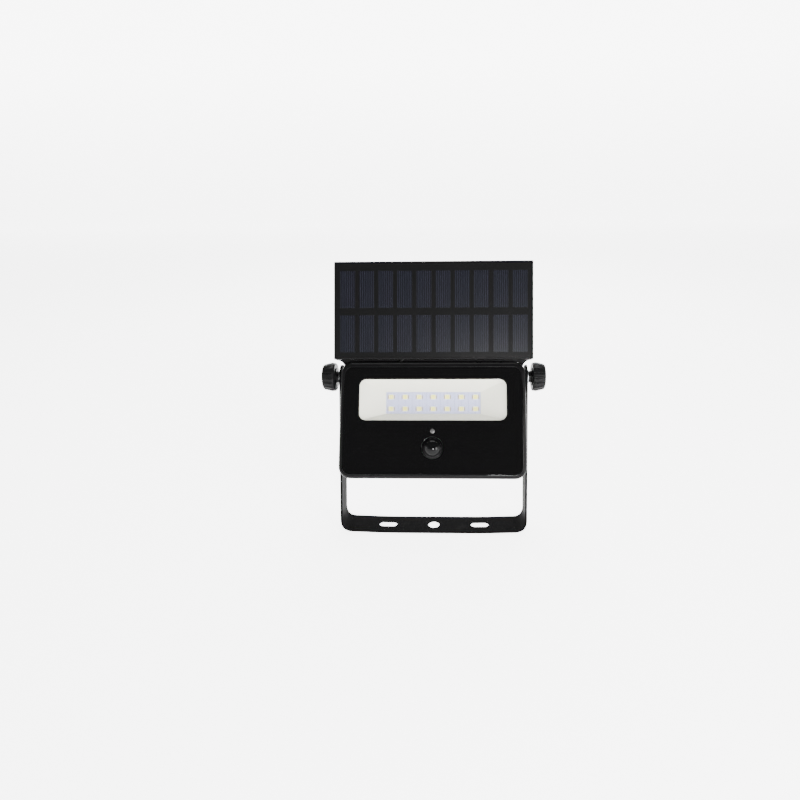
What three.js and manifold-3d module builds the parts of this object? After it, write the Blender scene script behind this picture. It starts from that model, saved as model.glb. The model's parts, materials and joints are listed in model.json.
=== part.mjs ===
// Solar flood light: a lamp head and a solar panel that tilt about one bolt line, held between the
// arms of a U bracket. Millimetres, +Z up, -Y towards the lit side. The origin is at the centre of
// the bracket's underside.

import * as THREE from "three";
import { mergeVertices } from "three/addons/utils/BufferGeometryUtils.js";
import Module from "manifold-3d";

const wasm = await Module();
wasm.setup();

// ---- Driving dimensions ------------------------------------------------------------------------

const GAP = 0.3; // clearance between pieces that touch

// The bolt line, along X, that the head and the panel both tilt about
const PIVOT_Y = 58;
const PIVOT_Z = 145.5;
const HEAD_LEAN = 32; // degrees that the head's face looks up
const PANEL_LEAN = 25; // degrees that the panel's face looks up

// Bracket, bent from steel strip
const STRIP = 2; // thickness
const STRIP_WIDTH = 25;
const BRACKET_HALF = 95.8; // half its outer width
const BEND_RADIUS = 12;
const BOW = 1.4; // rise of the base's ends above its middle
const FLAT_HALF = 32; // half the length of the flat middle
const BASE_HOLE_R = 6;
const SLOT_X = 48;
const SLOT_LENGTH = 19;
const SLOT_WIDTH = 8.5;

// Head, in its own frame: origin on the bolt line, -Y out of the lit face, +Z up the face
const HEAD_HALF = 93;
const HEAD_TOP = 12.7;
const HEAD_BOTTOM = -104.2;
const FACE_Y = -19.6;
const SEAM_Y = -7.6; // back of the bezel
const HEAD_CORNER = 12;
const FACE_ROUNDING = 3.2;
const GLASS_MARGIN = 3.5;
const GLASS = 2;
const RIM_WIDTH = 9; // from the bezel's outer wall to its inner opening
const WINDOW_WIDTH = 146.7;
const WINDOW_HEIGHT = 41.2;
const WINDOW_CORNER = 7;
const WINDOW_Z = -26.2;
const FLOOR_WIDTH = 100; // the reflector's opening over the LED board
const FLOOR_HEIGHT = 23;
const FLOOR_Z = -27.7;
const BOARD_Y = -2.6; // front of the LED board
const LED_COLUMNS = 7;
const LED_ROWS = 2;
const LED_PITCH_X = 14.4;
const LED_PITCH_Z = 12.3;
const SENSOR_Z = -57.5; // light sensor
const SENSOR_R = 2.2;
const PIR_Z = -74; // motion sensor
const PIR_R = 10.7;
const PIR_HEIGHT = 7.5;

// Rear housing
const HOUSING_HALF = 86.5;
const HOUSING_BACK = 17.5;
const HOUSING_BOTTOM = -98.5;
const BARREL_R = 12.4; // its round top edge, centred on the bolt line
const WALL = 2.4;
const SCREW_X = 79.6;
const SCREW_ROWS = [-16, -54, -90];

// Battery cells
const CELL_R = 9.1;
const CELL_LENGTH = 65;
const CELL_Y = 5.3;
const CELL_Z = -84.3;

// Power button, on the back
const BUTTON_X = -42;
const BUTTON_Z = -58;
const BUTTON_R = 5;

// Panel, in its own frame: origin on the bolt line, -Y out of the cells, +Z up the panel
const PANEL_HALF = 101.5;
const PANEL_LOW = 17.3;
const PANEL_HIGH = 117.3;
const PANEL_FRONT = -11;
const PANEL_BACK = -1;
const LIP = 1.6;
const NOTCH_R = 9; // concave corner between the panel and its neck
const NECK_LOW = 14.6;
const NECK_FRONT = -2.6;
const EAR_IN = 87;
const EAR_OUT = 91.5;
const EAR_R = 7.2;

// Hinge hardware, outwards along X from each ear
const BOLT_R = 2.9;
const BOLT_HOLE_R = 3.2;
const NUT_FLATS = 10;
const WASHER_R = 8;
const FRICTION_WASHER_R = 7.1;
const HUB_IN = 97.4;
const HUB_OUT = 101.6;
const HUB_R = 6;
const KNOB_R = 15;
const KNOB_DEPTH = 13.2;
const KNOB_RIBS = 18;

// The lead between the panel and the head
const LEAD_X = -33;
const LEAD_R = 1.3;
const LEAD_SIDES = 8;
const LEAD_STEPS = 76;
const LEAD_EXIT_Y = -5.5; // where it leaves the panel's lower wall
const LEAD_ENTRY_Y = -10.1; // where it enters the head's top wall

// The two sides of the light, and the way each points along X
const SIDES = [
  ["left", -1],
  ["right", 1],
];

// Positions that follow from the dimensions above: the head
const GLASS_HALF = HEAD_HALF - GLASS_MARGIN;
const GLASS_TOP = HEAD_TOP - GLASS_MARGIN;
const GLASS_BOTTOM = HEAD_BOTTOM + GLASS_MARGIN;
const GLASS_FRONT = FACE_Y + 0.2;
const GLASS_BACK = GLASS_FRONT + GLASS;
const LEDGE_Y = GLASS_BACK + 1.2; // the bezel's ledge that the glass is held on
const INNER_HALF = HEAD_HALF - RIM_WIDTH;
const INNER_TOP = HEAD_TOP - 6.7;
const INNER_BOTTOM = HEAD_BOTTOM + RIM_WIDTH;
const SIX_SCREWS = SCREW_ROWS.flatMap((z) => [-1, 1].map((side) => [side * SCREW_X, z]));
const RIM_Y = SEAM_Y + 1.6; // front edge of the rear housing
const CONTROL_Y = -9; // front of the control board
const CONTROL_THICK = 1.6;

// The panel
const LAMINATE_FRONT = PANEL_FRONT + 0.4;
const LAMINATE_BACK = LAMINATE_FRONT + 2.2;
const DECK_FRONT = LAMINATE_BACK + GAP; // the tray's deck behind the laminate
const DECK_BACK = DECK_FRONT + 1;
const COVER_FRONT = -2.3;
const PANEL_SCREWS = [-1, 1].flatMap((side) => [24, 110].map((z) => [side * 95.6, z]));

// ---- Shapes and solids -------------------------------------------------------------------------

const degrees = THREE.MathUtils.degToRad;

// A rectangle about X = 0 with round corners
function rectangle(halfWidth, low, high, corner, segments = 5) {
  const centres = [
    [halfWidth - corner, low + corner],
    [halfWidth - corner, high - corner],
    [-halfWidth + corner, high - corner],
    [-halfWidth + corner, low + corner],
  ];
  const points = [];
  centres.forEach(([x, z], quarter) => {
    for (let i = 0; i <= segments; i += 1) {
      const a = ((quarter - 1 + i / segments) * Math.PI) / 2;
      points.push(new THREE.Vector2(x + corner * Math.cos(a), z + corner * Math.sin(a)));
    }
  });
  return new THREE.Shape(points);
}

function boxOutline(left, low, right, high) {
  return new THREE.Shape([
    new THREE.Vector2(left, low),
    new THREE.Vector2(right, low),
    new THREE.Vector2(right, high),
    new THREE.Vector2(left, high),
  ]);
}

function discOutline(x, y, radius, segments = 20) {
  const points = [];
  for (let i = 0; i < segments; i += 1) {
    const a = (2 * Math.PI * i) / segments;
    points.push(new THREE.Vector2(x + radius * Math.cos(a), y + radius * Math.sin(a)));
  }
  return new THREE.Shape(points);
}

// An outline drawn in X and Z, pulled along Y from y0 to y1, with both rims rounded by bevel
function alongY(shape, y0, y1, bevel = 0) {
  const g = new THREE.ExtrudeGeometry(shape, {
    depth: y1 - y0 - 2 * bevel,
    bevelEnabled: bevel > 0,
    bevelThickness: bevel,
    bevelSize: bevel,
    bevelOffset: -bevel,
    bevelSegments: 3,
  });
  g.rotateX(Math.PI / 2);
  return g.translate(0, y1 - bevel, 0);
}

// An outline drawn in Y and Z, pulled along X from x0 to x1
function alongX(shape, x0, x1) {
  const g = new THREE.ExtrudeGeometry(shape, { depth: x1 - x0, bevelEnabled: false });
  const turn = new THREE.Matrix4().makeBasis(
    new THREE.Vector3(0, 1, 0),
    new THREE.Vector3(0, 0, 1),
    new THREE.Vector3(1, 0, 0),
  );
  g.applyMatrix4(turn);
  return g.translate(x0, 0, 0);
}

function block(x0, y0, z0, x1, y1, z1) {
  const g = new THREE.BoxGeometry(x1 - x0, y1 - y0, z1 - z0);
  return g.translate((x0 + x1) / 2, (y0 + y1) / 2, (z0 + z1) / 2);
}

// A profile of [radius, distance] pairs, turned about Y through (x, z)
function turnedAboutY(profile, x, z, segments = 20) {
  const points = profile.map(([r, d]) => new THREE.Vector2(r, d));
  const g = new THREE.LatheGeometry(points, segments);
  return g.translate(x, 0, z);
}

function rodY(radius, y0, y1, x, z, segments = 16) {
  return alongY(discOutline(x, z, radius, segments), y0, y1);
}

function rodX(radius, x0, x1, segments = 16, y = 0, z = 0) {
  return alongX(discOutline(y, z, radius, segments), Math.min(x0, x1), Math.max(x0, x1));
}

// A closed geometry as a solid that can be joined and cut
function solid(geometry) {
  const bare = geometry.index ? geometry.toNonIndexed() : geometry.clone();
  bare.deleteAttribute("normal");
  bare.deleteAttribute("uv");
  const merged = mergeVertices(bare, 1e-4);
  const mesh = new wasm.Mesh({
    numProp: 3,
    vertProperties: Float32Array.from(merged.attributes.position.array),
    triVerts: Uint32Array.from(merged.index.array),
  });
  return new wasm.Manifold(mesh);
}

function joined(...geometries) {
  return geometries.map(solid).reduce((a, b) => a.add(b));
}

function geometryOf(manifold) {
  const mesh = manifold.getMesh();
  const g = new THREE.BufferGeometry();
  g.setAttribute("position", new THREE.BufferAttribute(Float32Array.from(mesh.vertProperties), 3));
  g.setIndex(new THREE.BufferAttribute(Uint32Array.from(mesh.triVerts), 1));
  return g;
}

const FINISHES = {
  black_plastic: ["#131415", 0.42, 0],
  black_steel: ["#161617", 0.45, 0.2],
  black_rubber: ["#0d0d0d", 0.8, 0],
  black_glass: ["#050506", 0.06, 0],
  zinc_steel: ["#9a9a98", 0.35, 1],
  white_plastic: ["#dcdcd4", 0.5, 0],
  white_board: ["#c8cadc", 0.45, 0],
  phosphor: ["#e6e4b4", 0.4, 0],
  aluminium: ["#b4b6b8", 0.4, 1],
  solar_cell: ["#141a30", 0.2, 0],
  green_board: ["#1d4a2c", 0.5, 0],
  cell_wrap: ["#2b4f8c", 0.35, 0],
  sensor_grey: ["#8c8c8c", 0.3, 0],
};

function piece(name, shape, finish) {
  const [color, roughness, metalness] = FINISHES[finish];
  const geometry = shape.isBufferGeometry ? shape : geometryOf(shape);
  const m = new THREE.Mesh(geometry, new THREE.MeshStandardMaterial({ color, roughness, metalness }));
  m.name = name;
  return m;
}

// ---- Bracket -----------------------------------------------------------------------------------

// The strip's front view: a U whose base rises a little towards its ends
function stripOutline(inset) {
  const half = BRACKET_HALF - inset;
  const r = BEND_RADIUS - inset;
  const top = PIVOT_Z + STRIP_WIDTH;
  const base = (x) => {
    const t = Math.max(0, Math.abs(x) - FLAT_HALF) / (half - r - FLAT_HALF);
    return inset + BOW * t * t;
  };
  const points = [[half, top]];
  const end = base(half - r);
  for (let i = 0; i <= 6; i += 1) {
    const a = (-i * Math.PI) / 12;
    points.push([half - r + r * Math.cos(a), end + r + r * Math.sin(a)]);
  }
  for (const t of [0.75, 0.5, 0.25]) {
    const x = FLAT_HALF + t * (half - r - FLAT_HALF);
    points.push([x, base(x)]);
  }
  points.push([FLAT_HALF, inset]);
  return points;
}

function mountingBracket() {
  const outer = stripOutline(0);
  const inner = stripOutline(STRIP);
  const mirrored = (list) => list.map(([x, z]) => [-x, z]).reverse();
  const path = [...outer, ...mirrored(outer), ...[...inner, ...mirrored(inner)].reverse()];
  const strip = alongY(new THREE.Shape(path.map(([x, z]) => new THREE.Vector2(x, z))), -40, 90);
  // Side view: the arms lean back from the base and end round about the bolt line
  const r = STRIP_WIDTH / 2;
  const side = joined(
    alongX(armOutline(r), -BRACKET_HALF - 1, BRACKET_HALF + 1),
    rodX(r, -BRACKET_HALF - 1, BRACKET_HALF + 1, 36, PIVOT_Y, PIVOT_Z),
  );
  let bracket = solid(strip).intersect(side);
  bracket = bracket.subtract(rodOnPivot(BOLT_HOLE_R, -BRACKET_HALF - 1, BRACKET_HALF + 1));
  const below = -5;
  const above = 12;
  bracket = bracket.subtract(upright(discOutline(0, 0, BASE_HOLE_R, 28), below, above));
  for (const x of [-SLOT_X, SLOT_X]) {
    const slot = rectangle(SLOT_LENGTH / 2, -SLOT_WIDTH / 2, SLOT_WIDTH / 2, SLOT_WIDTH / 2 - 0.01, 6);
    bracket = bracket.subtract(upright(slot, below, above, x));
  }
  return piece("mounting_bracket", bracket, "black_steel");
}

// An outline drawn in X and Y, pulled up along Z, as a solid
function upright(shape, z0, z1, x = 0) {
  const g = new THREE.ExtrudeGeometry(shape, { depth: z1 - z0, bevelEnabled: false });
  return solid(g.translate(x, 0, z0));
}

// A rod on the bolt line, in the whole light's frame
function rodOnPivot(radius, x0, x1) {
  return solid(rodX(radius, x0, x1, 16, PIVOT_Y, PIVOT_Z));
}

// The flat of the arms up to the bolt line, from the base's edges to the round end
function armOutline(r) {
  const touch = (y, z, side) => {
    const far = Math.hypot(PIVOT_Y - y, PIVOT_Z - z);
    const a = Math.atan2(PIVOT_Z - z, PIVOT_Y - y) - side * Math.asin(r / far);
    const reach = Math.sqrt(far * far - r * r);
    return new THREE.Vector2(y + reach * Math.cos(a), z + reach * Math.sin(a));
  };
  const shoulder = 6;
  return new THREE.Shape([
    new THREE.Vector2(-r, -1),
    new THREE.Vector2(r, -1),
    new THREE.Vector2(r, shoulder),
    touch(r, shoulder, 1),
    touch(-r, shoulder, -1),
    new THREE.Vector2(-r, shoulder),
  ]);
}

// ---- Head --------------------------------------------------------------------------------------

function frontBezel() {
  const outline = rectangle(HEAD_HALF, HEAD_BOTTOM, HEAD_TOP, HEAD_CORNER);
  let bezel = solid(alongY(outline, FACE_Y, SEAM_Y + 4, FACE_ROUNDING));
  bezel = bezel.subtract(solid(block(-100, SEAM_Y, -120, 100, SEAM_Y + 20, 30)));
  const recess = rectangle(GLASS_HALF + 0.2, GLASS_BOTTOM - 0.2, GLASS_TOP + 0.2, HEAD_CORNER - 3, 4);
  bezel = bezel.subtract(solid(alongY(recess, FACE_Y - 1, LEDGE_Y)));
  const opening = rectangle(INNER_HALF, INNER_BOTTOM, INNER_TOP, 4, 3);
  bezel = bezel.subtract(solid(alongY(opening, LEDGE_Y - 1, SEAM_Y + 1)));
  for (const [x, z] of SIX_SCREWS) {
    const side = Math.sign(x);
    const web = block(Math.min(x, side * 86), LEDGE_Y, z - 2, Math.max(x, side * 86), SEAM_Y, z + 2);
    bezel = bezel.add(joined(rodY(3.2, LEDGE_Y, SEAM_Y, x, z), web));
    bezel = bezel.subtract(solid(rodY(1.6, LEDGE_Y + 2, SEAM_Y + 1, x, z, 12)));
  }
  const leadHole = upright(discOutline(LEAD_X, LEAD_ENTRY_Y, LEAD_R + 1.1, 16), 3, 20);
  return piece("front_bezel", bezel.subtract(leadHole), "black_plastic");
}

function frontGlass() {
  const outline = rectangle(GLASS_HALF, GLASS_BOTTOM, GLASS_TOP, HEAD_CORNER - 3.2, 4);
  outline.holes.push(discOutline(0, PIR_Z, PIR_R + 0.4, 24));
  outline.holes.push(discOutline(0, SENSOR_Z, SENSOR_R + 0.3, 12));
  return piece("front_glass", alongY(outline, GLASS_FRONT, GLASS_BACK), "black_glass");
}

function glassGasket() {
  const outline = rectangle(GLASS_HALF - 0.5, GLASS_BOTTOM + 0.5, GLASS_TOP - 0.5, 8, 3);
  outline.holes.push(rectangle(GLASS_HALF - 2.6, GLASS_BOTTOM + 2.6, GLASS_TOP - 2.2, 6, 3));
  return piece("glass_gasket", alongY(outline, GLASS_BACK + GAP, LEDGE_Y - GAP), "black_rubber");
}

// A four-sided funnel from the window down to the LED board, with a flange behind the glass
function reflector() {
  const front = GLASS_BACK + GAP;
  const back = BOARD_Y - GAP;
  const flange = rectangle(75, WINDOW_Z - 22.4, WINDOW_Z + 22.4, 8, 4);
  const funnel = (grow) =>
    loft(
      rectangle(WINDOW_WIDTH / 2 + grow, windowLow - grow, windowHigh + grow, WINDOW_CORNER, 4),
      front - (grow > 0 ? 0 : 1),
      rectangle(FLOOR_WIDTH / 2 + grow, floorLow - grow, floorHigh + grow, 2.5, 4),
      back + (grow > 0 ? 0 : 1),
    );
  const windowLow = WINDOW_Z - WINDOW_HEIGHT / 2;
  const windowHigh = WINDOW_Z + WINDOW_HEIGHT / 2;
  const floorLow = FLOOR_Z - FLOOR_HEIGHT / 2;
  const floorHigh = FLOOR_Z + FLOOR_HEIGHT / 2;
  const body = solid(alongY(flange, front, front + 1.4)).add(solid(funnel(1.4)));
  return piece("reflector", body.subtract(solid(funnel(0))), "white_plastic");
}

// A solid between two outlines with the same number of points, the first at y0 and the last at y1
function loft(first, y0, last, y1) {
  const ends = [first, last].map((s) => s.getPoints());
  const count = ends[0].length;
  const at = [y0, y1];
  const vertex = [];
  ends.forEach((ring, k) => ring.forEach((p) => vertex.push(p.x, at[k], p.y)));
  const index = [];
  for (let i = 0; i < count; i += 1) {
    const j = (i + 1) % count;
    index.push(i, count + j, j, i, count + i, count + j);
  }
  for (const [a, b, c] of THREE.ShapeUtils.triangulateShape(ends[0], [])) index.push(a, b, c);
  for (const [a, b, c] of THREE.ShapeUtils.triangulateShape(ends[1], [])) {
    index.push(count + a, count + c, count + b);
  }
  const g = new THREE.BufferGeometry();
  g.setAttribute("position", new THREE.Float32BufferAttribute(vertex, 3));
  g.setIndex(index);
  return g;
}

function ledBoard() {
  const g = block(-52, BOARD_Y, FLOOR_Z - 14, 52, BOARD_Y + 1.6, FLOOR_Z + 14);
  return piece("led_board", g, "white_board");
}

function leds() {
  const made = [];
  for (let row = 0; row < LED_ROWS; row += 1) {
    for (let column = 0; column < LED_COLUMNS; column += 1) {
      const x = (column - (LED_COLUMNS - 1) / 2) * LED_PITCH_X;
      const z = FLOOR_Z + (0.5 - row) * LED_PITCH_Z;
      const g = block(x - 2.7, BOARD_Y - GAP - 0.9, z - 2.5, x + 2.7, BOARD_Y - GAP, z + 2.5);
      made.push(piece(`led_${made.length + 1}`, g, "phosphor"));
    }
  }
  return made;
}

function heatSpreader() {
  const y = BOARD_Y + 1.6 + GAP;
  return piece("heat_spreader", block(-62, y, WINDOW_Z - 22, 62, y + 2.8, WINDOW_Z + 21), "aluminium");
}

function pirLens() {
  const back = GLASS_BACK + GAP;
  const r = PIR_R;
  const top = GLASS_FRONT - PIR_HEIGHT;
  const dome = (radius, depth, crown, steps) => {
    const list = [];
    for (let i = 0; i <= steps; i += 1) {
      const a = (i * Math.PI) / (2 * steps);
      list.push([radius * Math.sin(a), crown + depth * (1 - Math.cos(a))]);
    }
    return list;
  };
  const outer = dome(r, GLASS_BACK - top, top, 6);
  const inner = dome(r - 1, GLASS_BACK - top - 1, top + 1, 6).reverse();
  const flange = [
    [r, back],
    [r + 1.8, back],
    [r + 1.8, back + 1],
    [r - 1, back + 1],
  ];
  return piece("pir_lens", turnedAboutY([...outer, ...flange, ...inner], 0, PIR_Z, 20), "black_plastic");
}

function pirSensor() {
  return piece("pir_sensor", rodY(4.6, -14.2, CONTROL_Y - GAP, 0, PIR_Z), "zinc_steel");
}

function lightSensor() {
  const plug = rodY(SENSOR_R, GLASS_FRONT, CONTROL_Y - GAP, 0, SENSOR_Z, 12);
  return piece("light_sensor", plug, "sensor_grey");
}

function controlBoard() {
  const board = block(-60, CONTROL_Y, -93, 60, CONTROL_Y + CONTROL_THICK, -52);
  return piece("control_board", board, "green_board");
}

function batteryCell(number, x0) {
  const cell = rodX(CELL_R, x0, x0 + CELL_LENGTH, 20, CELL_Y, CELL_Z);
  return piece(`battery_cell_${number}`, cell, "cell_wrap");
}

// A cradle round the front half of both cells, with an end wall at each side
function batteryHolder() {
  const half = CELL_LENGTH + 2.5;
  const outer = CELL_R + GAP + 1.2;
  let holder = joined(
    rodX(outer, -half - 1.5, half + 1.5, 24, CELL_Y, CELL_Z),
    block(-half - 1.5, CELL_Y - outer, CELL_Z - outer * 0.7, half + 1.5, CELL_Y, CELL_Z + outer * 0.7),
  );
  holder = holder.subtract(solid(block(-90, CELL_Y + 2, CELL_Z - 20, 90, CELL_Y + 30, CELL_Z + 20)));
  holder = holder.subtract(solid(rodX(CELL_R + GAP, -half, half, 24, CELL_Y, CELL_Z)));
  return piece("battery_holder", holder, "black_plastic");
}

// The rear housing's side view, grown inwards by inset: a round barrel about the bolt line, a
// sloping shoulder and a flat back
function housingSide(inset, front) {
  const points = [[front, BARREL_R - inset]];
  const r = BARREL_R - inset;
  for (let i = 0; i <= 6; i += 1) {
    const a = Math.PI / 2 - (i * degrees(75)) / 6;
    points.push([r * Math.cos(a), r * Math.sin(a)]);
  }
  const back = HOUSING_BACK - inset;
  const bottom = HOUSING_BOTTOM + inset;
  points.push([back, -34], [back, bottom + 9], [back - 2.6, bottom + 2.6], [back - 9, bottom]);
  points.push([front, bottom]);
  return new THREE.Shape(points.map(([y, z]) => new THREE.Vector2(y, z)));
}

function rearHousing() {
  const h = HOUSING_HALF;
  const whole = solid(alongX(housingSide(0, RIM_Y), -h, h));
  const plan = solid(alongY(rectangle(h, HOUSING_BOTTOM, BARREL_R + 3, 10, 4), RIM_Y - 1, 30));
  let housing = whole.intersect(plan);
  const hollow = solid(alongX(housingSide(WALL, RIM_Y - 1), -h + WALL, h - WALL));
  const inPlan = alongY(rectangle(h - WALL, HOUSING_BOTTOM + WALL, BARREL_R + 3, 7.6, 4), RIM_Y - 1, 30);
  housing = housing.subtract(hollow.intersect(solid(inPlan)));
  for (const side of [-1, 1]) {
    const boss = rodX(BARREL_R - WALL - 0.4, side * 74, side * (h - 1), 24);
    const [x0, x1] = [side * 74, side * (h - 1)].sort((a, b) => a - b);
    const web = block(x0, 0, -9, x1, 11, 2);
    housing = housing.add(joined(boss, web).intersect(whole));
    housing = housing.subtract(solid(rodX(BOLT_HOLE_R, side * 70, side * (h + 1), 16)));
    housing = housing.subtract(solid(hexX(NUT_FLATS / 2 + 0.2, side * 70, side * 79.6)));
  }
  for (const [x, z] of SIX_SCREWS) {
    const reach = housingReach(z);
    housing = housing.add(solid(rodY(3.6, RIM_Y, reach, x, z)).intersect(whole));
    housing = housing.subtract(solid(rodY(1.9, RIM_Y - 1, reach + 4, x, z, 12)));
    housing = housing.subtract(solid(rodY(3.1, reach - 4, 30, x, z)));
  }
  const bore = rodY(BUTTON_R + 2.2, HOUSING_BACK - WALL - 1, HOUSING_BACK + 1, BUTTON_X, BUTTON_Z, 24);
  return piece("rear_housing", housing.subtract(solid(bore)), "black_plastic");
}

// How far back the housing stands at a height z
function housingReach(z) {
  return z < -34 ? HOUSING_BACK : 12 + ((HOUSING_BACK - 12) * -z) / 34;
}

// A hexagonal bar on the bolt line, given by its half width across flats
function hexX(halfFlats, x0, x1) {
  const points = [];
  for (let i = 0; i < 6; i += 1) {
    const a = degrees(60 * i);
    const r = halfFlats / Math.cos(degrees(30));
    points.push(new THREE.Vector2(r * Math.cos(a), r * Math.sin(a)));
  }
  return alongX(new THREE.Shape(points), Math.min(x0, x1), Math.max(x0, x1));
}

function housingGasket() {
  const outline = rectangle(HOUSING_HALF - 0.4, HOUSING_BOTTOM + 0.4, BARREL_R - 0.4, 8, 3);
  outline.holes.push(rectangle(HOUSING_HALF - 2.2, HOUSING_BOTTOM + 2.2, BARREL_R - 2.4, 6, 3));
  return piece("housing_gasket", alongY(outline, SEAM_Y + GAP, RIM_Y - GAP), "black_rubber");
}

function housingScrews() {
  return SIX_SCREWS.map(([x, z], i) => {
    const headBack = housingReach(z) - 1.2;
    const headFront = housingReach(z) - 4 + GAP;
    const head = rodY(2.8, headFront, headBack, x, z, 12);
    const shank = rodY(1.35, SEAM_Y - 4, headFront + 1, x, z, 8);
    const cross = joined(
      block(x - 1.6, headBack - 1, z - 0.35, x + 1.6, headBack + 1, z + 0.35),
      block(x - 0.35, headBack - 1, z - 1.6, x + 0.35, headBack + 1, z + 1.6),
    );
    return piece(`housing_screw_${i + 1}`, joined(head, shank).subtract(cross), "zinc_steel");
  });
}

function hingeNuts() {
  return SIDES.map(([side, sign]) => {
    const nut = solid(hexX(NUT_FLATS / 2 - 0.1, sign * 74.2, sign * 79.2));
    const hole = solid(rodX(BOLT_R + GAP, sign * 70, sign * 82, 16));
    return piece(`${side}_hinge_nut`, nut.subtract(hole), "zinc_steel");
  });
}

function buttonSwitch() {
  const back = HOUSING_BACK - WALL - GAP;
  const body = joined(
    block(BUTTON_X - 6, back - 7, BUTTON_Z - 6, BUTTON_X + 6, back - 3.2, BUTTON_Z + 6),
    rodY(1.8, back - 4, back - 1.9, BUTTON_X, BUTTON_Z, 12),
  );
  return piece("button_switch", body, "black_plastic");
}

function buttonRing() {
  const outer = BUTTON_R + 2.2 - GAP;
  const outline = discOutline(BUTTON_X, BUTTON_Z, outer, 24);
  outline.holes.push(discOutline(BUTTON_X, BUTTON_Z, BUTTON_R + GAP, 24));
  const collar = discOutline(BUTTON_X, BUTTON_Z, outer + 1.8, 24);
  collar.holes.push(discOutline(BUTTON_X, BUTTON_Z, BUTTON_R + GAP, 24));
  const back = HOUSING_BACK;
  const ring = joined(alongY(outline, back - WALL, back + 1), alongY(collar, back + GAP, back + 1.4));
  return piece("button_ring", ring, "black_rubber");
}

function powerButton() {
  const back = HOUSING_BACK;
  const cap = [
    [0, back - WALL + 0.2],
    [BUTTON_R, back - WALL + 0.2],
    [BUTTON_R, back + 2],
    [BUTTON_R - 0.9, back + 2.9],
    [0, back + 3.2],
  ];
  return piece("power_button", turnedAboutY(cap, BUTTON_X, BUTTON_Z, 24), "black_rubber");
}

// A rubber bush round the lead where it passes a wall, upright on the lead's line
function grommet(name, x, y, z0, z1, flangeZ) {
  const flange = discOutline(x, y, LEAD_R + 1.2, 16);
  const sleeve = discOutline(x, y, LEAD_R + 0.95, 20);
  const bore = upright(discOutline(x, y, LEAD_R + 0.62, 20), z0 - 5, z1 + 5);
  const body = upright(sleeve, z0, z1).add(upright(flange, flangeZ, flangeZ + 0.4));
  return piece(name, body.subtract(bore), "black_rubber");
}

// ---- Panel -------------------------------------------------------------------------------------

// The neck's outline below the panel: concave corners that run into the ears
function neckOutline() {
  const points = [new THREE.Vector2(PANEL_HALF - 1, PANEL_LOW + 1.5)];
  const centre = [PANEL_HALF - 1, PANEL_LOW - NOTCH_R];
  for (let i = 0; i <= 5; i += 1) {
    const a = Math.PI / 2 + (i * degrees(75)) / 5;
    points.push(new THREE.Vector2(centre[0] + NOTCH_R * Math.cos(a), centre[1] + NOTCH_R * Math.sin(a)));
  }
  points.push(new THREE.Vector2(EAR_OUT, 9), new THREE.Vector2(EAR_IN, 9));
  points.push(new THREE.Vector2(EAR_IN, NECK_LOW));
  const left = points.map((p) => new THREE.Vector2(-p.x, p.y)).reverse();
  return new THREE.Shape([...left, ...points].reverse());
}

// An ear's side view: round about the bolt line, with a rib that runs up behind the tray
function earOutline() {
  const points = [];
  for (let i = 0; i <= 14; i += 1) {
    const a = degrees(160 + (i * 220) / 14);
    points.push(new THREE.Vector2(EAR_R * Math.cos(a), EAR_R * Math.sin(a)));
  }
  points.push(new THREE.Vector2(PANEL_BACK - 0.5, 40), new THREE.Vector2(NECK_FRONT - 0.6, 40));
  points.push(new THREE.Vector2(NECK_FRONT - 0.6, 12));
  return new THREE.Shape(points);
}

function panelTray() {
  const outline = rectangle(PANEL_HALF, PANEL_LOW, PANEL_HIGH, 1.2, 2);
  let tray = solid(alongY(outline, PANEL_FRONT, PANEL_BACK, 0.8));
  const recess = boxOutline(-PANEL_HALF + LIP, PANEL_LOW + LIP, PANEL_HALF - LIP, PANEL_HIGH - LIP);
  tray = tray.subtract(solid(alongY(recess, PANEL_FRONT - 1, DECK_FRONT)));
  const inner = boxOutline(-PANEL_HALF + 2, PANEL_LOW + 2, PANEL_HALF - 2, PANEL_HIGH - 2);
  tray = tray.subtract(solid(alongY(inner, DECK_BACK, PANEL_BACK + 1)));
  for (const [x, z] of PANEL_SCREWS) {
    tray = tray.add(solid(rodY(3.4, DECK_BACK - 0.5, COVER_FRONT - GAP, x, z)));
    tray = tray.subtract(solid(rodY(1.5, DECK_BACK + 0.6, COVER_FRONT + 1, x, z, 12)));
  }
  const neck = solid(alongY(neckOutline(), NECK_FRONT, PANEL_BACK));
  tray = tray.add(neck);
  for (const side of [-1, 1]) {
    const x = [side * EAR_IN, side * EAR_OUT].sort((a, b) => a - b);
    const ear = solid(alongX(earOutline(), x[0], x[1]));
    tray = tray.add(ear);
  }
  tray = tray.subtract(solid(rodX(BOLT_HOLE_R, -95, 95, 16)));
  const leadOutline = discOutline(LEAD_X, LEAD_EXIT_Y, LEAD_R + 1.1, 16);
  const leadHole = upright(leadOutline, NECK_LOW - 1, PANEL_LOW + 2.5);
  return piece("panel_tray", tray.subtract(leadHole), "black_plastic");
}

function solarLaminate() {
  const inset = LIP + 0.2;
  const edges = [-PANEL_HALF + inset, PANEL_LOW + inset, PANEL_HALF - inset, PANEL_HIGH - inset];
  return piece("solar_laminate", alongY(boxOutline(...edges), LAMINATE_FRONT, LAMINATE_BACK), "solar_cell");
}

function panelBackCover() {
  const inset = 2 + GAP;
  const edges = [-PANEL_HALF + inset, PANEL_LOW + inset, PANEL_HALF - inset, PANEL_HIGH - inset];
  let cover = solid(alongY(boxOutline(...edges), COVER_FRONT, PANEL_BACK));
  for (const side of [-1, 1]) {
    // Clear of the ears' ribs
    const x = [side * (EAR_IN - GAP), side * (EAR_OUT + GAP)].sort((a, b) => a - b);
    cover = cover.subtract(solid(block(x[0], -4, 10, x[1], 2, 41)));
  }
  for (const [x, z] of PANEL_SCREWS) cover = cover.subtract(solid(rodY(1.6, -4, 1, x, z, 12)));
  return piece("panel_back_cover", cover, "black_plastic");
}

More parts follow.
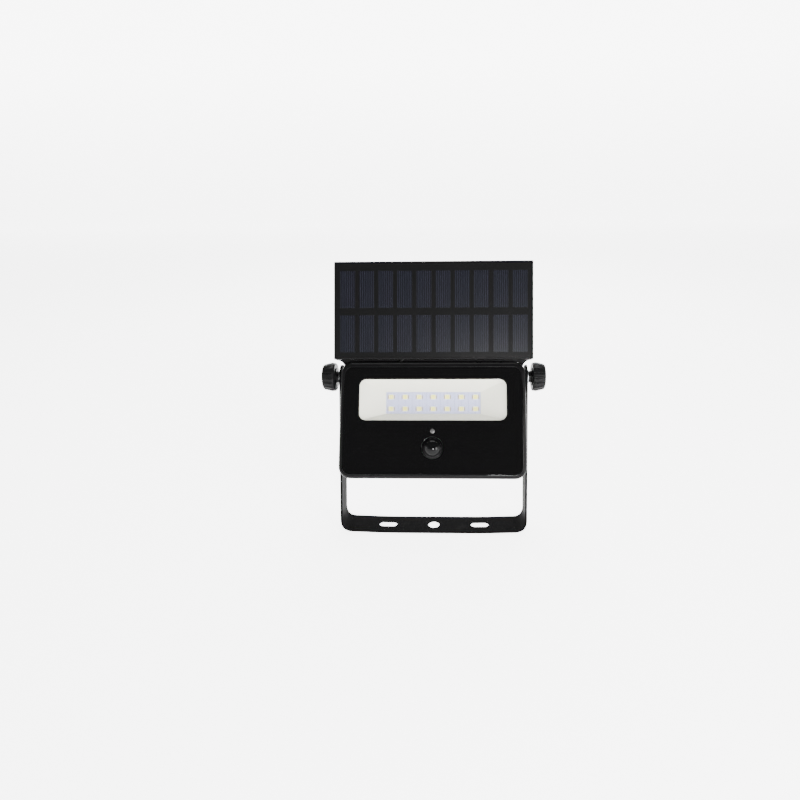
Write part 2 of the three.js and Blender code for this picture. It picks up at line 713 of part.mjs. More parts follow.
function panelScrews() {
  return PANEL_SCREWS.map(([x, z], i) => {
    const head = rodY(2.6, PANEL_BACK + GAP, PANEL_BACK + 1.5, x, z, 12);
    const shank = rodY(1.2, DECK_BACK + 0.9, PANEL_BACK + 0.6, x, z, 8);
    const cross = joined(
      block(x - 1.5, PANEL_BACK + 0.8, z - 0.3, x + 1.5, PANEL_BACK + 2, z + 0.3),
      block(x - 0.3, PANEL_BACK + 0.8, z - 1.5, x + 0.3, PANEL_BACK + 2, z + 1.5),
    );
    return piece(`panel_screw_${i + 1}`, joined(head, shank).subtract(cross), "zinc_steel");
  });
}

// ---- Hinge knobs -------------------------------------------------------------------------------

// A ribbed grip with a hub: the ribs are the ripples of its outline
function knobGrip(sign) {
  const perRib = 4;
  const points = [];
  for (let i = 0; i < KNOB_RIBS * perRib; i += 1) {
    const a = (2 * Math.PI * i) / (KNOB_RIBS * perRib);
    const r = KNOB_R - (i % perRib === 0 ? 0.9 : 0);
    points.push(new THREE.Vector2(r * Math.cos(a), r * Math.sin(a)));
  }
  const bevel = 2.6;
  const g = new THREE.ExtrudeGeometry(new THREE.Shape(points), {
    depth: KNOB_DEPTH - 2 * bevel,
    bevelEnabled: true,
    bevelThickness: bevel,
    bevelSize: bevel,
    bevelOffset: -bevel,
    bevelSegments: 1,
  });
  g.translate(0, 0, bevel + HUB_OUT - 0.5);
  g.rotateY((sign * Math.PI) / 2);
  return g;
}

function knobSet([side, sign]) {
  const hub = rodX(HUB_R, sign * HUB_IN, sign * (HUB_OUT + 1), 20);
  const bore = solid(rodX(BOLT_R + GAP, sign * 90, sign * (HUB_OUT + 4 + GAP), 16));
  const knob = joined(knobGrip(sign), hub).subtract(bore);
  const bolt = rodX(BOLT_R, sign * 75, sign * (HUB_OUT + 4), 16);
  return [
    piece(`${side}_knob`, knob, "black_plastic"),
    piece(`${side}_hinge_bolt`, bolt, "zinc_steel"),
    washer(`${side}_plain_washer`, sign, BRACKET_HALF + GAP, HUB_IN - GAP, "zinc_steel", WASHER_R),
  ];
}

function washer(name, sign, inner, outer, finish, radius) {
  const disc = solid(rodX(radius, sign * inner, sign * outer, 20));
  const hole = solid(rodX(BOLT_HOLE_R, sign * (inner - 1), sign * (outer + 1), 16));
  return piece(name, disc.subtract(hole), finish);
}

function frictionWashers() {
  const inner = EAR_OUT + GAP;
  const outer = BRACKET_HALF - STRIP - GAP;
  return SIDES.map(([side, sign]) =>
    washer(`${side}_friction_washer`, sign, inner, outer, "black_rubber", FRICTION_WASHER_R),
  );
}

// ---- Assembly ----------------------------------------------------------------------------------

function pivotGroup(lean) {
  const g = new THREE.Group();
  g.position.set(0, PIVOT_Y, PIVOT_Z);
  g.rotation.x = -degrees(lean);
  return g;
}

const head = pivotGroup(HEAD_LEAN);
const panel = pivotGroup(PANEL_LEAN);

// The lead, from the panel's back space, across to the head and down to the control board
function panelLead() {
  const inPanel = [
    [LEAD_X, -5, 38],
    [LEAD_X, -5.2, 28],
    [LEAD_X, LEAD_EXIT_Y, PANEL_LOW + 3.5],
    [LEAD_X, LEAD_EXIT_Y, PANEL_LOW + 1],
    [LEAD_X, LEAD_EXIT_Y, PANEL_LOW - 0.9],
  ];
  const inHead = [
    [LEAD_X, LEAD_ENTRY_Y, HEAD_TOP + 0.6],
    [LEAD_X, LEAD_ENTRY_Y, HEAD_TOP - 2],
    [LEAD_X, LEAD_ENTRY_Y, 7],
    [-34, -10, 3],
    [-38, -5, 0.5],
    [-46, 0, 0],
    [-56, 3, -0.5],
    [-64, 4.5, -3],
    [-70.3, 5.5, -12],
    [-71, 5.5, -28],
    [-70, 4, -43],
    [-64, -2, -53],
    [-57, -5.6, -58],
    [-50, -5.6, -62],
  ];
  const place = (group, list) => {
    group.updateMatrixWorld(true);
    return list.map((p) => new THREE.Vector3(...p).applyMatrix4(group.matrixWorld));
  };
  const route = new THREE.CatmullRomCurve3([...place(panel, inPanel), ...place(head, inHead)]);
  route.curveType = "centripetal";
  const g = new THREE.ExtrudeGeometry(discOutline(0, 0, LEAD_R, LEAD_SIDES), {
    steps: LEAD_STEPS,
    extrudePath: route,
  });
  return piece("panel_lead", g, "black_rubber");
}

head.add(
  rearHousing(),
  frontBezel(),
  frontGlass(),
  glassGasket(),
  housingGasket(),
  reflector(),
  ledBoard(),
  ...leds(),
  heatSpreader(),
  pirLens(),
  pirSensor(),
  lightSensor(),
  controlBoard(),
  batteryCell(1, -CELL_LENGTH - 0.5),
  batteryCell(2, 0.5),
  batteryHolder(),
  buttonSwitch(),
  buttonRing(),
  powerButton(),
  ...housingScrews(),
  ...hingeNuts(),
  ...frictionWashers(),
  ...SIDES.flatMap(knobSet),
  grommet("head_grommet", LEAD_X, LEAD_ENTRY_Y, HEAD_TOP - 4, HEAD_TOP + GAP + 0.2, HEAD_TOP + GAP),
);
panel.add(
  panelTray(),
  solarLaminate(),
  panelBackCover(),
  ...panelScrews(),
  grommet("panel_grommet", LEAD_X, LEAD_EXIT_Y, PANEL_LOW - 0.5, PANEL_LOW + 1.8, PANEL_LOW - GAP - 0.4),
);

const light = new THREE.Group();
light.add(mountingBracket(), head, panel, panelLead());

export default light;
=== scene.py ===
# %% [markdown]
# # A solar flood light
#
# The light has three big parts on one bolt line: a steel bracket that stays still, a lamp head,
# and a solar panel. The engineering model already fixes where each of them is. This lesson gives
# them their finished surfaces. The first step loads that model, and everything is placed from it.

# %% Load the frame
import json
import math

import bpy
from mathutils import Matrix, Vector


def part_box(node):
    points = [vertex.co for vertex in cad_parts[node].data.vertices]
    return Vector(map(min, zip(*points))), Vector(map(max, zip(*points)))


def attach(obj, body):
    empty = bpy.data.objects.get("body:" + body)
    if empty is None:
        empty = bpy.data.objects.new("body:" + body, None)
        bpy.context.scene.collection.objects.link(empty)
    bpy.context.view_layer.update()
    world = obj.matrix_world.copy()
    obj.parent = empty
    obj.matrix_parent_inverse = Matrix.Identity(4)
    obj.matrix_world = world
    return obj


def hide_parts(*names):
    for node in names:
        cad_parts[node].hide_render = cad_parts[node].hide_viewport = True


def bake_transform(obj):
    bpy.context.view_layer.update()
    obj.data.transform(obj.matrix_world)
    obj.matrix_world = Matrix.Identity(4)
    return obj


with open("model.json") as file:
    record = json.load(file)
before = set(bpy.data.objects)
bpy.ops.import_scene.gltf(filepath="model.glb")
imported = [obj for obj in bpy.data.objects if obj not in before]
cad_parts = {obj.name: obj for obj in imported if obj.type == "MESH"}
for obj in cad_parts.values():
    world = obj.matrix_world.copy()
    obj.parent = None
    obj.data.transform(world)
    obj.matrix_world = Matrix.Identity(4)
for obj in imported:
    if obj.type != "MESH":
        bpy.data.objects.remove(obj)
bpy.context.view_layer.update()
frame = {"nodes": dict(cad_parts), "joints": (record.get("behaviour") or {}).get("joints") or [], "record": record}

MM = 0.001

# %% [markdown]
# ## Two tilted work benches
#
# The head and the panel are tilted, and modelling a tilted box is awkward. So each piece is made
# upright on a bench of its own, with the bolt line at the origin and the lit side facing -Y, and a
# matrix then carries it to its place. The tilt of each bench is read from the largest flat face of
# a node that lies in it.

# %% The benches
PIVOT = Vector(next(j for j in frame["joints"] if j["name"] == "head_tilt")["pos_m"])


def bench_of(node):
    """The matrix that carries a piece from the upright bench to where the node's face looks."""
    facing = [f for f in frame["nodes"][node].data.polygons if f.normal.y < -0.5]
    normal = max(facing, key=lambda f: f.area).normal
    lean = math.atan2(normal.z, -normal.y)
    print(node, "leans back", round(math.degrees(lean), 1), "degrees")
    return Matrix.Translation(PIVOT) @ Matrix.Rotation(-lean, 4, "X")


HEAD = bench_of("front_glass")
PANEL = bench_of("solar_laminate")
ROOM = Matrix.Identity(4)


def box_on(bench, node):
    """A node's lowest and highest corners, measured on its bench."""
    back = bench.inverted()
    points = [back @ v.co for v in frame["nodes"][node].data.vertices]
    low = Vector([min(p[i] for p in points) for i in range(3)])
    high = Vector([max(p[i] for p in points) for i in range(3)])
    return low, high


# %% [markdown]
# ## Small tools for modelling
#
# An operator works on whatever is selected, so each helper first clears the selection and then
# picks edges or faces by where they are. That is what a hand would do with the mouse, written
# down so that it can be repeated.

# %% Selecting
def only(piece):
    """Makes one object the selected and active one."""
    if bpy.context.object and bpy.context.object.mode != "OBJECT":
        bpy.ops.object.mode_set(mode="OBJECT")
    bpy.ops.object.select_all(action="DESELECT")
    piece.select_set(True)
    bpy.context.view_layer.objects.active = piece


def pick_edges(piece, test):
    """Opens the piece in edit mode with the edges selected whose two ends pass the test."""
    only(piece)
    bpy.ops.object.mode_set(mode="EDIT")
    bpy.ops.mesh.select_mode(type="EDGE")
    bpy.ops.mesh.select_all(action="DESELECT")
    bpy.ops.object.mode_set(mode="OBJECT")
    points = piece.data.vertices
    for edge in piece.data.edges:
        a, b = (points[i].co for i in edge.vertices)
        edge.select = bool(test(a, b))
    bpy.ops.object.mode_set(mode="EDIT")


def pick_faces(piece, test):
    """Opens the piece in edit mode with the faces selected that pass the test."""
    only(piece)
    bpy.ops.object.mode_set(mode="EDIT")
    bpy.ops.mesh.select_mode(type="FACE")
    bpy.ops.mesh.select_all(action="DESELECT")
    bpy.ops.object.mode_set(mode="OBJECT")
    for face in piece.data.polygons:
        face.select = bool(test(face))
    bpy.ops.object.mode_set(mode="EDIT")


def leave_edit():
    bpy.ops.object.mode_set(mode="OBJECT")


def pull(x, y, z):
    """Extrudes what is selected, by a distance along each axis."""
    bpy.ops.mesh.extrude_region_move(TRANSFORM_OT_translate={"value": (x, y, z)})


def joined(first, others, name=None):
    """Joins the others into the first, which keeps its name unless it is given one."""
    only(first)
    for other in others:
        other.select_set(True)
    bpy.ops.object.join()
    first.name = name or first.name
    return first


print("ways to select: by edges, by faces, or one whole piece")

# %% [markdown]
# Every shape starts as a cube or a cylinder of the right size. Rounded edges come from bevels and
# openings from a Boolean cut. A wide flat face beside a fine bevel shades as if it were dented,
# so the bevel is followed by weighted normals, which keep the wide face flat.

# %% Starting shapes
TINY = 1e-6
TURNS = {"X": (0, math.pi / 2, 0), "Y": (-math.pi / 2, 0, 0), "Z": (0, 0, 0)}


def start_box(name, low, high):
    """A cube primitive at the size and place of a box."""
    bpy.ops.object.select_all(action="DESELECT")
    low, high = Vector(low), Vector(high)
    bpy.ops.mesh.primitive_cube_add(size=1, location=(low + high) / 2)
    piece = bpy.context.object
    piece.name = name
    piece.scale = high - low
    bpy.ops.object.transform_apply()
    return piece


def start_rod(name, axis, radius, start, end, at=(0, 0, 0), sides=48):
    """A cylinder primitive along X, Y or Z, from start to end, on a line through the point at."""
    bpy.ops.object.select_all(action="DESELECT")
    place = Vector(at)
    place["XYZ".index(axis)] = (start + end) / 2
    bpy.ops.mesh.primitive_cylinder_add(
        vertices=sides, radius=radius, depth=abs(end - start), location=place, rotation=TURNS[axis]
    )
    piece = bpy.context.object
    piece.name = name
    bpy.ops.object.transform_apply()
    return piece


def round_edges(piece, width, segments, test):
    """Bevels the edges that pass the test."""
    pick_edges(piece, test)
    bpy.ops.mesh.bevel(offset=width, segments=segments, profile=0.5, affect="EDGES")
    leave_edit()
    return piece


def slab(name, low, high, corner, rounding=0.0, segments=10):
    """A plate with rounded corners, and with its -Y rim rounded over."""
    piece = start_box(name, low, high)
    depth = high[1] - low[1]
    round_edges(piece, corner, segments, lambda a, b: abs(a.y - b.y) > depth / 2)
    if rounding:
        front = low[1] + TINY
        round_edges(piece, rounding, 5, lambda a, b: a.y < front and b.y < front)
    return piece


def cut(piece, *tools):
    """Cuts the piece with each tool, and clears the tools away."""
    for tool in tools:
        modifier = piece.modifiers.new("cut", "BOOLEAN")
        modifier.operation = "DIFFERENCE"
        modifier.object = tool
        modifier.solver = "EXACT"
        only(piece)
        bpy.ops.object.modifier_apply(modifier=modifier.name)
        bpy.data.objects.remove(tool)
    return piece


SHARP = 38  # an edge that turns by more degrees than this is a sharp one


def soften(piece, width, segments=2, angle=SHARP):
    """Breaks every sharp edge with a fine bevel, and keeps the large faces shading flat."""
    modifier = piece.modifiers.new("soften", "BEVEL")
    modifier.width = width
    modifier.segments = segments
    modifier.limit_method = "ANGLE"
    modifier.angle_limit = math.radians(angle)
    modifier.use_clamp_overlap = True
    only(piece)
    bpy.ops.object.modifier_apply(modifier=modifier.name)
    bpy.ops.object.shade_smooth_by_angle(angle=math.radians(SHARP))
    modifier = piece.modifiers.new("flat_faces", "WEIGHTED_NORMAL")
    modifier.keep_sharp = True
    bpy.ops.object.modifier_apply(modifier=modifier.name)
    return piece


def settle(piece, bench, body, finish, slot, *replaced):
    """Carries a finished piece to its place, with its object at the origin, and lets it ride."""
    only(piece)
    piece.matrix_world = bench
    bpy.ops.object.transform_apply()
    if finish:
        piece.data.materials.clear()
        piece.data.materials.append(finish)
    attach(piece, body)
    if replaced:
        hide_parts(*replaced)
    print(f"{piece.name}: {len(piece.data.polygons)} faces on {body}")
    return piece


print("an edge is sharp above", SHARP, "degrees")

# %% [markdown]
# ## A refined copy
#
# Where the engineering model's shape is already right, a copy of it is enough. Its triangles are
# merged, the flat ones are dissolved into whole faces, and a fine bevel catches the light along
# every edge. A knife-sharp edge is what makes a model look like a drawing.

# %% Refining a copy of a node
FLAT = 1.0


def refined(node, name, width):
    """A copy of a node with merged points, whole flat faces and softened edges."""
    piece = frame["nodes"][node].copy()
    piece.data = frame["nodes"][node].data.copy()
    piece.parent = None
    for key in list(piece.keys()):
        del piece[key]
    piece.name = name
    bpy.context.scene.collection.objects.link(piece)
    only(piece)
    bpy.ops.object.mode_set(mode="EDIT")
    bpy.ops.mesh.select_all(action="SELECT")
    bpy.ops.mesh.remove_doubles(threshold=TINY)
    bpy.ops.mesh.dissolve_limited(angle_limit=math.radians(FLAT))
    leave_edit()
    return soften(piece, width)


print("faces within", FLAT, "degree of each other become one")


# %% [markdown]
# ## A short way to write materials
#
# A material is a sum: a base value, plus noise, times a mask. Written as nodes that becomes a
# cobweb, so a small class wraps a socket and lets plus, minus and times add the Math nodes. Any
# other node comes from one method that takes its type, its settings and its inputs.

# %% Material maths
class Value:
    """A number or colour that comes out of a node."""

    def __init__(self, finish, socket):
        self.finish = finish
        self.socket = socket

    def math(self, operation, *others):
        inputs = dict(enumerate([self, *others]))
        return self.finish.node("ShaderNodeMath", {"operation": operation}, inputs)

    def __add__(self, other):
        return self.math("ADD", other)

    def __sub__(self, other):
        return self.math("SUBTRACT", other)

    def __rsub__(self, other):
        return self.finish.node("ShaderNodeMath", {"operation": "SUBTRACT"}, {0: other, 1: self})

    def __mul__(self, other):
        return self.math("MULTIPLY", other)

    __radd__ = __add__
    __rmul__ = __mul__

    def smooth(self, low, high):
        """0 below low, 1 above high, and a soft step between."""
        settings = {"interpolation_type": "SMOOTHSTEP"}
        return self.finish.node("ShaderNodeMapRange", settings, {0: self, 1: low, 2: high})


class Finish:
    """A material with one Principled shader, built up a node at a time."""

    def __init__(self, name, bench=ROOM):
        self.material = bpy.data.materials.new(name)
        self.material.use_nodes = True
        self.nodes = self.material.node_tree.nodes
        self.links = self.material.node_tree.links
        self.shader = self.nodes["Principled BSDF"]
        upright = bench.inverted()
        self.where = self.node("ShaderNodeTexCoord", {}, {}, "Object")
        if bench != ROOM:
            turn = {"Location": upright.to_translation(), "Rotation": upright.to_euler()}
            self.where = self.node("ShaderNodeMapping", {}, {"Vector": self.where, **turn})

    def node(self, kind, settings, inputs, output=0):
        """Adds any node with its settings and inputs, and gives back one of its outputs."""
        made = self.nodes.new(kind)
        for key, value in settings.items():
            setattr(made, key, value)
        for key, value in inputs.items():
            if isinstance(value, Value):
                self.links.new(value.socket, made.inputs[key])
            else:
                made.inputs[key].default_value = value
        return Value(self, made.outputs[output])

    def noise(self, size, detail=2.0, stretch=(1, 1, 1), rough=0.5):
        """Noise from 0 to 1 whose blotches are about size metres across."""
        scaled = self.node("ShaderNodeMapping", {}, {"Vector": self.where, "Scale": stretch})
        inputs = {"Vector": scaled, "Scale": 1 / size, "Detail": detail, "Roughness": rough}
        return self.node("ShaderNodeTexNoise", {}, inputs)

    def axes(self):
        """The place's x, y and z as three values."""
        split = self.node("ShaderNodeSeparateXYZ", {}, {0: self.where})
        outputs = split.socket.node.outputs
        return [Value(self, outputs[i]) for i in range(3)]

    def mix(self, factor, a, b):
        inputs = {0: factor, 6: a, 7: b}
        return self.node("ShaderNodeMix", {"data_type": "RGBA"}, inputs, 2)

    def bump(self, height, distance, strength=1.0, under=None):
        inputs = {"Height": height, "Distance": distance, "Strength": strength}
        if under:
            inputs["Normal"] = under
        return self.node("ShaderNodeBump", {}, inputs)

    def done(self, **sockets):
        """Fills the shader's sockets: Base_Color=..., Roughness=... and so on."""
        for key, value in sockets.items():
            socket = self.shader.inputs[key.replace("_", " ")]
            if isinstance(value, Value):
                self.links.new(value.socket, socket)
            else:
                socket.default_value = value
        return self.material


def rgb(r, g, b):
    return (r, g, b, 1.0)


print("material helpers:", Value.__name__, Finish.__name__)


# %% [markdown]
# ## The black finishes
#
# Nearly everything here is black, so the finishes have to differ in how they shine. Moulded
# plastic has a fine spark-eroded grain, powder coat has the soft dimples of orange peel, rubber is
# dull and dusty, and the printed glass is a mirror with a few faint smears.

# %% Black plastics, paint and rubber
def moulded_black(name, grey, rough, grain, bench=ROOM):
    """Injection-moulded plastic with a fine eroded grain and slightly polished patches."""
    f = Finish(name, bench)
    fine = f.noise(grain, 3.0)
    wear = f.noise(28 * MM, 3.0).smooth(0.35, 0.75)
    dust = f.noise(6 * MM, 4.0).smooth(0.55, 0.8)
    clean = rgb(grey, grey, grey * 1.05)
    dusty = rgb(grey * 2.1, grey * 2.1, grey * 2.0)
    return f.done(
        Base_Color=f.mix(dust * 0.35, clean, dusty),
        Roughness=rough + fine * 0.12 - wear * 0.07,
        Normal=f.bump(fine, 0.04 * MM, 0.4),
        Specular_IOR_Level=0.06,
    )


def powder_coat():
    """Satin powder coat on steel: shallow orange peel, a little bright along rubbed patches."""
    f = Finish("powder_coat_black")
    peel = f.noise(1.1 * MM, 2.0)
    speck = f.noise(0.35 * MM, 2.0)
    rubbed = f.noise(20 * MM, 4.0).smooth(0.55, 0.8)
    shade = f.mix(rubbed * 0.5, rgb(0.0016, 0.0016, 0.0017), rgb(0.004, 0.004, 0.004))
    return f.done(
        Base_Color=shade,
        Roughness=0.52 + speck * 0.16 - rubbed * 0.08,
        Normal=f.bump(speck, 0.02 * MM, 0.4, f.bump(peel, 0.07 * MM, 0.45)),
        Specular_IOR_Level=0.02,
    )


def rubber(name="black_rubber_finish"):
    """Matt rubber with a bloom of dust."""
    f = Finish(name)
    bloom = f.noise(4 * MM, 5.0).smooth(0.4, 0.8)
    fine = f.noise(0.3 * MM, 2.0)
    return f.done(
        Base_Color=f.mix(bloom * 0.5, rgb(0.004, 0.004, 0.004), rgb(0.010, 0.010, 0.0095)),
        Roughness=0.62 + bloom * 0.2,
        Normal=f.bump(fine, 0.04 * MM, 0.5),
        Specular_IOR_Level=0.25,
    )


def printed_glass():
    """Polished glass with black ink baked on its back, and faint wiping marks."""
    f = Finish("black_printed_glass", HEAD)
    smear = f.noise(30 * MM, 3.0, (1, 1, 0.35)).smooth(0.45, 0.8)
    dust = f.noise(0.5 * MM, 1.0).smooth(0.72, 0.8)
    return f.done(
        Base_Color=f.mix(dust * 0.25, rgb(0.0010, 0.0010, 0.0011), rgb(0.012, 0.012, 0.012)),
        Roughness=0.035 + smear * 0.05 + dust * 0.1,
        Specular_IOR_Level=0.33,
        Normal=f.bump(f.noise(45 * MM, 1.0), 0.15 * MM, 0.2),
    )


def clear_glass():
    """The unprinted window: almost nothing but a faint film."""
    f = Finish("clear_window_glass", HEAD)
    film = f.noise(18 * MM, 3.0).smooth(0.4, 0.9)
    return f.done(
        Base_Color=rgb(0.9, 0.93, 0.95),
        Roughness=0.03 + film * 0.04,
        Alpha=0.05 + film * 0.03,
        IOR=1.5,
    )


def lens_black():
    """Infrared-clear polythene, which looks black and waxy."""
    f = Finish("sensor_lens_black", HEAD)
    wax = f.noise(3 * MM, 2.0)
    return f.done(
        Base_Color=f.mix(wax, rgb(0.0015, 0.0015, 0.0018), rgb(0.003, 0.003, 0.003)),
        Roughness=0.05 + wax * 0.05,
        Normal=f.bump(wax, 0.03 * MM, 0.3),
        Specular_IOR_Level=0.09,
    )


CASE_BLACK = moulded_black("case_plastic_black", 0.0028, 0.27, 0.32 * MM)
TRAY_BLACK = moulded_black("tray_plastic_black", 0.0045, 0.38, 0.4 * MM)
KNOB_BLACK = moulded_black("knob_plastic_black", 0.004, 0.3, 0.28 * MM)
STEEL_BLACK = powder_coat()
RUBBER = rubber()
CABLE_BLACK = rubber("cable_jacket_black")
GLASS_BLACK = printed_glass()
GLASS_CLEAR = clear_glass()
LENS_BLACK = lens_black()
print("black finishes:", [m.name for m in bpy.data.materials if "black" in m.name])

# %% [markdown]
# ## The bright finishes
#
# The lit part is the opposite: white plastic, a pale board, yellow phosphor and tinned pads. Each
# has a little unevenness of its own, because a pure white patch reads as a hole in the picture.

# %% White, board, phosphor and metals
def reflector_white():
    f = Finish("reflector_white_plastic", HEAD)
    haze = f.noise(9 * MM, 3.0)
    fine = f.noise(0.5 * MM, 2.0)
    return f.done(
        Base_Color=f.mix(haze, rgb(0.70, 0.69, 0.575), rgb(0.63, 0.62, 0.515)),
        Roughness=0.38 + fine * 0.12,
        Normal=f.bump(fine, 0.02 * MM, 0.4),
    )


TRACE_PITCH = 7.2 * MM


def board_white():
    """White solder mask with a lilac cast, over copper traces that stand up slightly."""
    f = Finish("led_board_mask", HEAD)
    x = f.axes()[0]
    fine = f.noise(0.7 * MM, 2.0)
    lane = (x * (1 / TRACE_PITCH)).math("FRACT").math("PINGPONG", 0.5).smooth(0.05, 0.09)
    shade = f.mix(lane, rgb(0.27, 0.285, 0.50), rgb(0.35, 0.37, 0.62))
    return f.done(
        Base_Color=f.mix(fine * 0.25, shade, rgb(0.50, 0.52, 0.80)),
        Roughness=0.34 + fine * 0.15,
        Normal=f.bump(lane, 0.04 * MM, 0.6),
    )


def phosphor():
    f = Finish("phosphor_yellow")
    grain = f.noise(0.4 * MM, 3.0)
    return f.done(
        Base_Color=f.mix(grain, rgb(0.86, 0.82, 0.13), rgb(0.74, 0.67, 0.08)),
        Roughness=0.24 + grain * 0.2,
        Normal=f.bump(grain, 0.03 * MM, 0.5),
    )


def led_body():
    f = Finish("led_white_ceramic")
    grain = f.noise(0.5 * MM, 2.0)
    return f.done(
        Base_Color=f.mix(grain, rgb(0.84, 0.84, 0.80), rgb(0.76, 0.76, 0.72)),
        Roughness=0.35 + grain * 0.1,
    )


def solder():
    f = Finish("solder_tinned")
    grain = f.noise(0.45 * MM, 3.0)
    return f.done(
        Base_Color=f.mix(grain, rgb(0.28, 0.22, 0.09), rgb(0.16, 0.12, 0.05)),
        Roughness=0.3 + grain * 0.25,
        Metallic=0.4,
        Normal=f.bump(grain, 0.05 * MM, 0.6),
    )


def zinc():
    """Zinc-plated steel: bluish grey with a fine brushed streak."""
    f = Finish("zinc_plated_steel")
    streak = f.noise(0.4 * MM, 2.0, (0.15, 1, 1))
    spot = f.noise(2.5 * MM, 3.0)
    return f.done(
        Base_Color=f.mix(spot, rgb(0.55, 0.56, 0.57), rgb(0.38, 0.39, 0.40)),
        Roughness=0.24 + streak * 0.22,
        Metallic=1.0,
        Normal=f.bump(streak, 0.02 * MM, 0.5),
    )


def aluminium():
    f = Finish("rolled_aluminium", HEAD)
    streak = f.noise(0.3 * MM, 3.0, (0.05, 1, 1))
    return f.done(
        Base_Color=f.mix(streak, rgb(0.66, 0.67, 0.68), rgb(0.5, 0.51, 0.52)),
        Roughness=0.28 + streak * 0.2,
        Metallic=1.0,
    )


def resin(name, dark, pale, size, rough, bench=ROOM):
    """A coloured coating with mottling: circuit board, cell wrap or clear resin."""
    f = Finish(name, bench)
    mottle = f.noise(size, 3.0)
    return f.done(
        Base_Color=f.mix(mottle, rgb(*dark), rgb(*pale)),
        Roughness=rough + mottle * 0.15,
        Normal=f.bump(mottle, 0.04 * MM, 0.3),
    )


REFLECTOR_WHITE = reflector_white()
BOARD_WHITE = board_white()
PHOSPHOR = phosphor()
LED_WHITE = led_body()
SOLDER = solder()
ZINC = zinc()
ALUMINIUM = aluminium()
GREENS = (0.012, 0.08, 0.03), (0.03, 0.14, 0.06)
BLUES = (0.03, 0.1, 0.34), (0.05, 0.15, 0.45)
GREYS = (0.02, 0.02, 0.02), (0.034, 0.034, 0.033)
BOARD_GREEN = resin("control_board_green", *GREENS, 3 * MM, 0.35, HEAD)
CELL_WRAP = resin("battery_wrap_blue", *BLUES, 5 * MM, 0.25, HEAD)
SENSOR_GREY = resin("sensor_resin_grey", *GREYS, 1 * MM, 0.25, HEAD)
print("finishes so far:", len(bpy.data.materials))

# %% [markdown]
# ## Solar cells
#
# A small solar panel is dark silicon strips on a black backing, under clear resin. Each strip
# carries silver fingers about two millimetres apart. The backing is nearly black and the silicon
# is a dull blue-violet that varies from strip to strip, because the strips are cut from different
# wafers. The fingers follow the panel, so the pattern is turned onto the panel's bench.

# %% Silicon and backing
FINGER_PITCH = 1.9 * MM
FINGER_WIDTH = 0.17  # as a share of the pitch
CELL_PITCH = 19.5 * MM
CELL_SHIFT = 0.3 * MM  # the strips are laid a little to the right of the middle
PANEL_MIDDLE = 67.3 * MM  # from the bolt line to the gap between the two rows of strips


def silicon():
    f = Finish("silicon_blue", PANEL)
    x, _, z = f.axes()
    strip = (x - CELL_SHIFT) * (1 / CELL_PITCH)
    lot = strip.math("FLOOR") + (z - PANEL_MIDDLE).math("SIGN") * 7.3
    tint = f.node("ShaderNodeTexWhiteNoise", {"noise_dimensions": "1D"}, {"W": lot})
    grain = f.noise(1.6 * MM, 3.0)
    base = f.mix(tint, rgb(0.0005, 0.0006, 0.0019), rgb(0.0013, 0.0011, 0.0026))
    crystal = f.mix(grain * 0.3, base, rgb(0.004, 0.0045, 0.008))
    across = (x * (1 / FINGER_PITCH)).math("FRACT").math("PINGPONG", 0.5)
    finger = 1 - across.smooth(FINGER_WIDTH / 2, FINGER_WIDTH)
    return f.done(
        Base_Color=f.mix(finger * 0.5, crystal, rgb(0.013, 0.015, 0.022)),
        Roughness=0.3 + grain * 0.12,
        Normal=f.bump(finger, 0.03 * MM, 0.4),
        Specular_IOR_Level=0.05,
        Coat_Weight=0.6,
        Coat_Roughness=0.25,
        Coat_IOR=1.45,
    )


def backing():
    f = Finish("laminate_backing_black", PANEL)
    weave = f.noise(0.8 * MM, 2.0)
    cloud = f.noise(40 * MM, 2.0)
    return f.done(
        Base_Color=f.mix(cloud, rgb(0.0016, 0.0017, 0.0017), rgb(0.0030, 0.0030, 0.0031)),
        Roughness=0.32 + weave * 0.12,
        Specular_IOR_Level=0.05,
        Coat_Weight=0.16,
        Coat_Roughness=0.25,
        Coat_IOR=1.45,
    )


SILICON = silicon()
BACKING = backing()
print("finger pitch:", round(FINGER_PITCH / MM, 2), "mm")

# %% [markdown]
# ## A finish for every node
#
# Inner pieces such as the cells, the control board and the nuts keep their engineering shape.
# Each gets its finish from a table of the record's material slots.

# %% Finish the inner nodes
FINISH_OF = {
    "black_plastic": CASE_BLACK,
    "knob_plastic": KNOB_BLACK,
    "lens_plastic": LENS_BLACK,
    "black_steel": STEEL_BLACK,
    "black_rubber": RUBBER,
    "cable_jacket": CABLE_BLACK,
    "black_glass": GLASS_BLACK,
    "zinc_steel": ZINC,
    "white_plastic": REFLECTOR_WHITE,
    "white_board": BOARD_WHITE,
    "phosphor": PHOSPHOR,
    "aluminium": ALUMINIUM,
    "solar_cell": SILICON,
    "green_board": BOARD_GREEN,
    "cell_wrap": CELL_WRAP,
    "sensor_grey": SENSOR_GREY,
}
SLOT_OF = {row["node"]: row["material_slot"] for row in frame["record"]["subparts"]}
for node, cad in frame["nodes"].items():
    for material_slot in cad.material_slots:
        material_slot.material = FINISH_OF[SLOT_OF[node]]
print("finished nodes:", len(SLOT_OF))

# %% [markdown]
# ## Camera
#
# The camera looks down by 25 degrees, from a little to the right. A small lens shift slides the
# view without tilting it, so the uprights don't lean any more.

# %% Camera
LOOK_DOWN = math.radians(25)
LOOK_LEFT = math.radians(1.8)
STAND_OFF = 541 * MM  # from the bolt line to the camera, along the view
CAMERA_RIGHT = 24 * MM
CAMERA_BELOW_PIVOT = 22.6 * MM
SENSOR_WIDTH = 36.0
LENS = 23.5
SHIFT = (-0.0504, -0.0018)

RIGHT = Vector((1, 0, 0))
UP = Vector((0, math.sin(LOOK_DOWN), math.cos(LOOK_DOWN)))
AWAY = Vector((0, math.cos(LOOK_DOWN), -math.sin(LOOK_DOWN)))


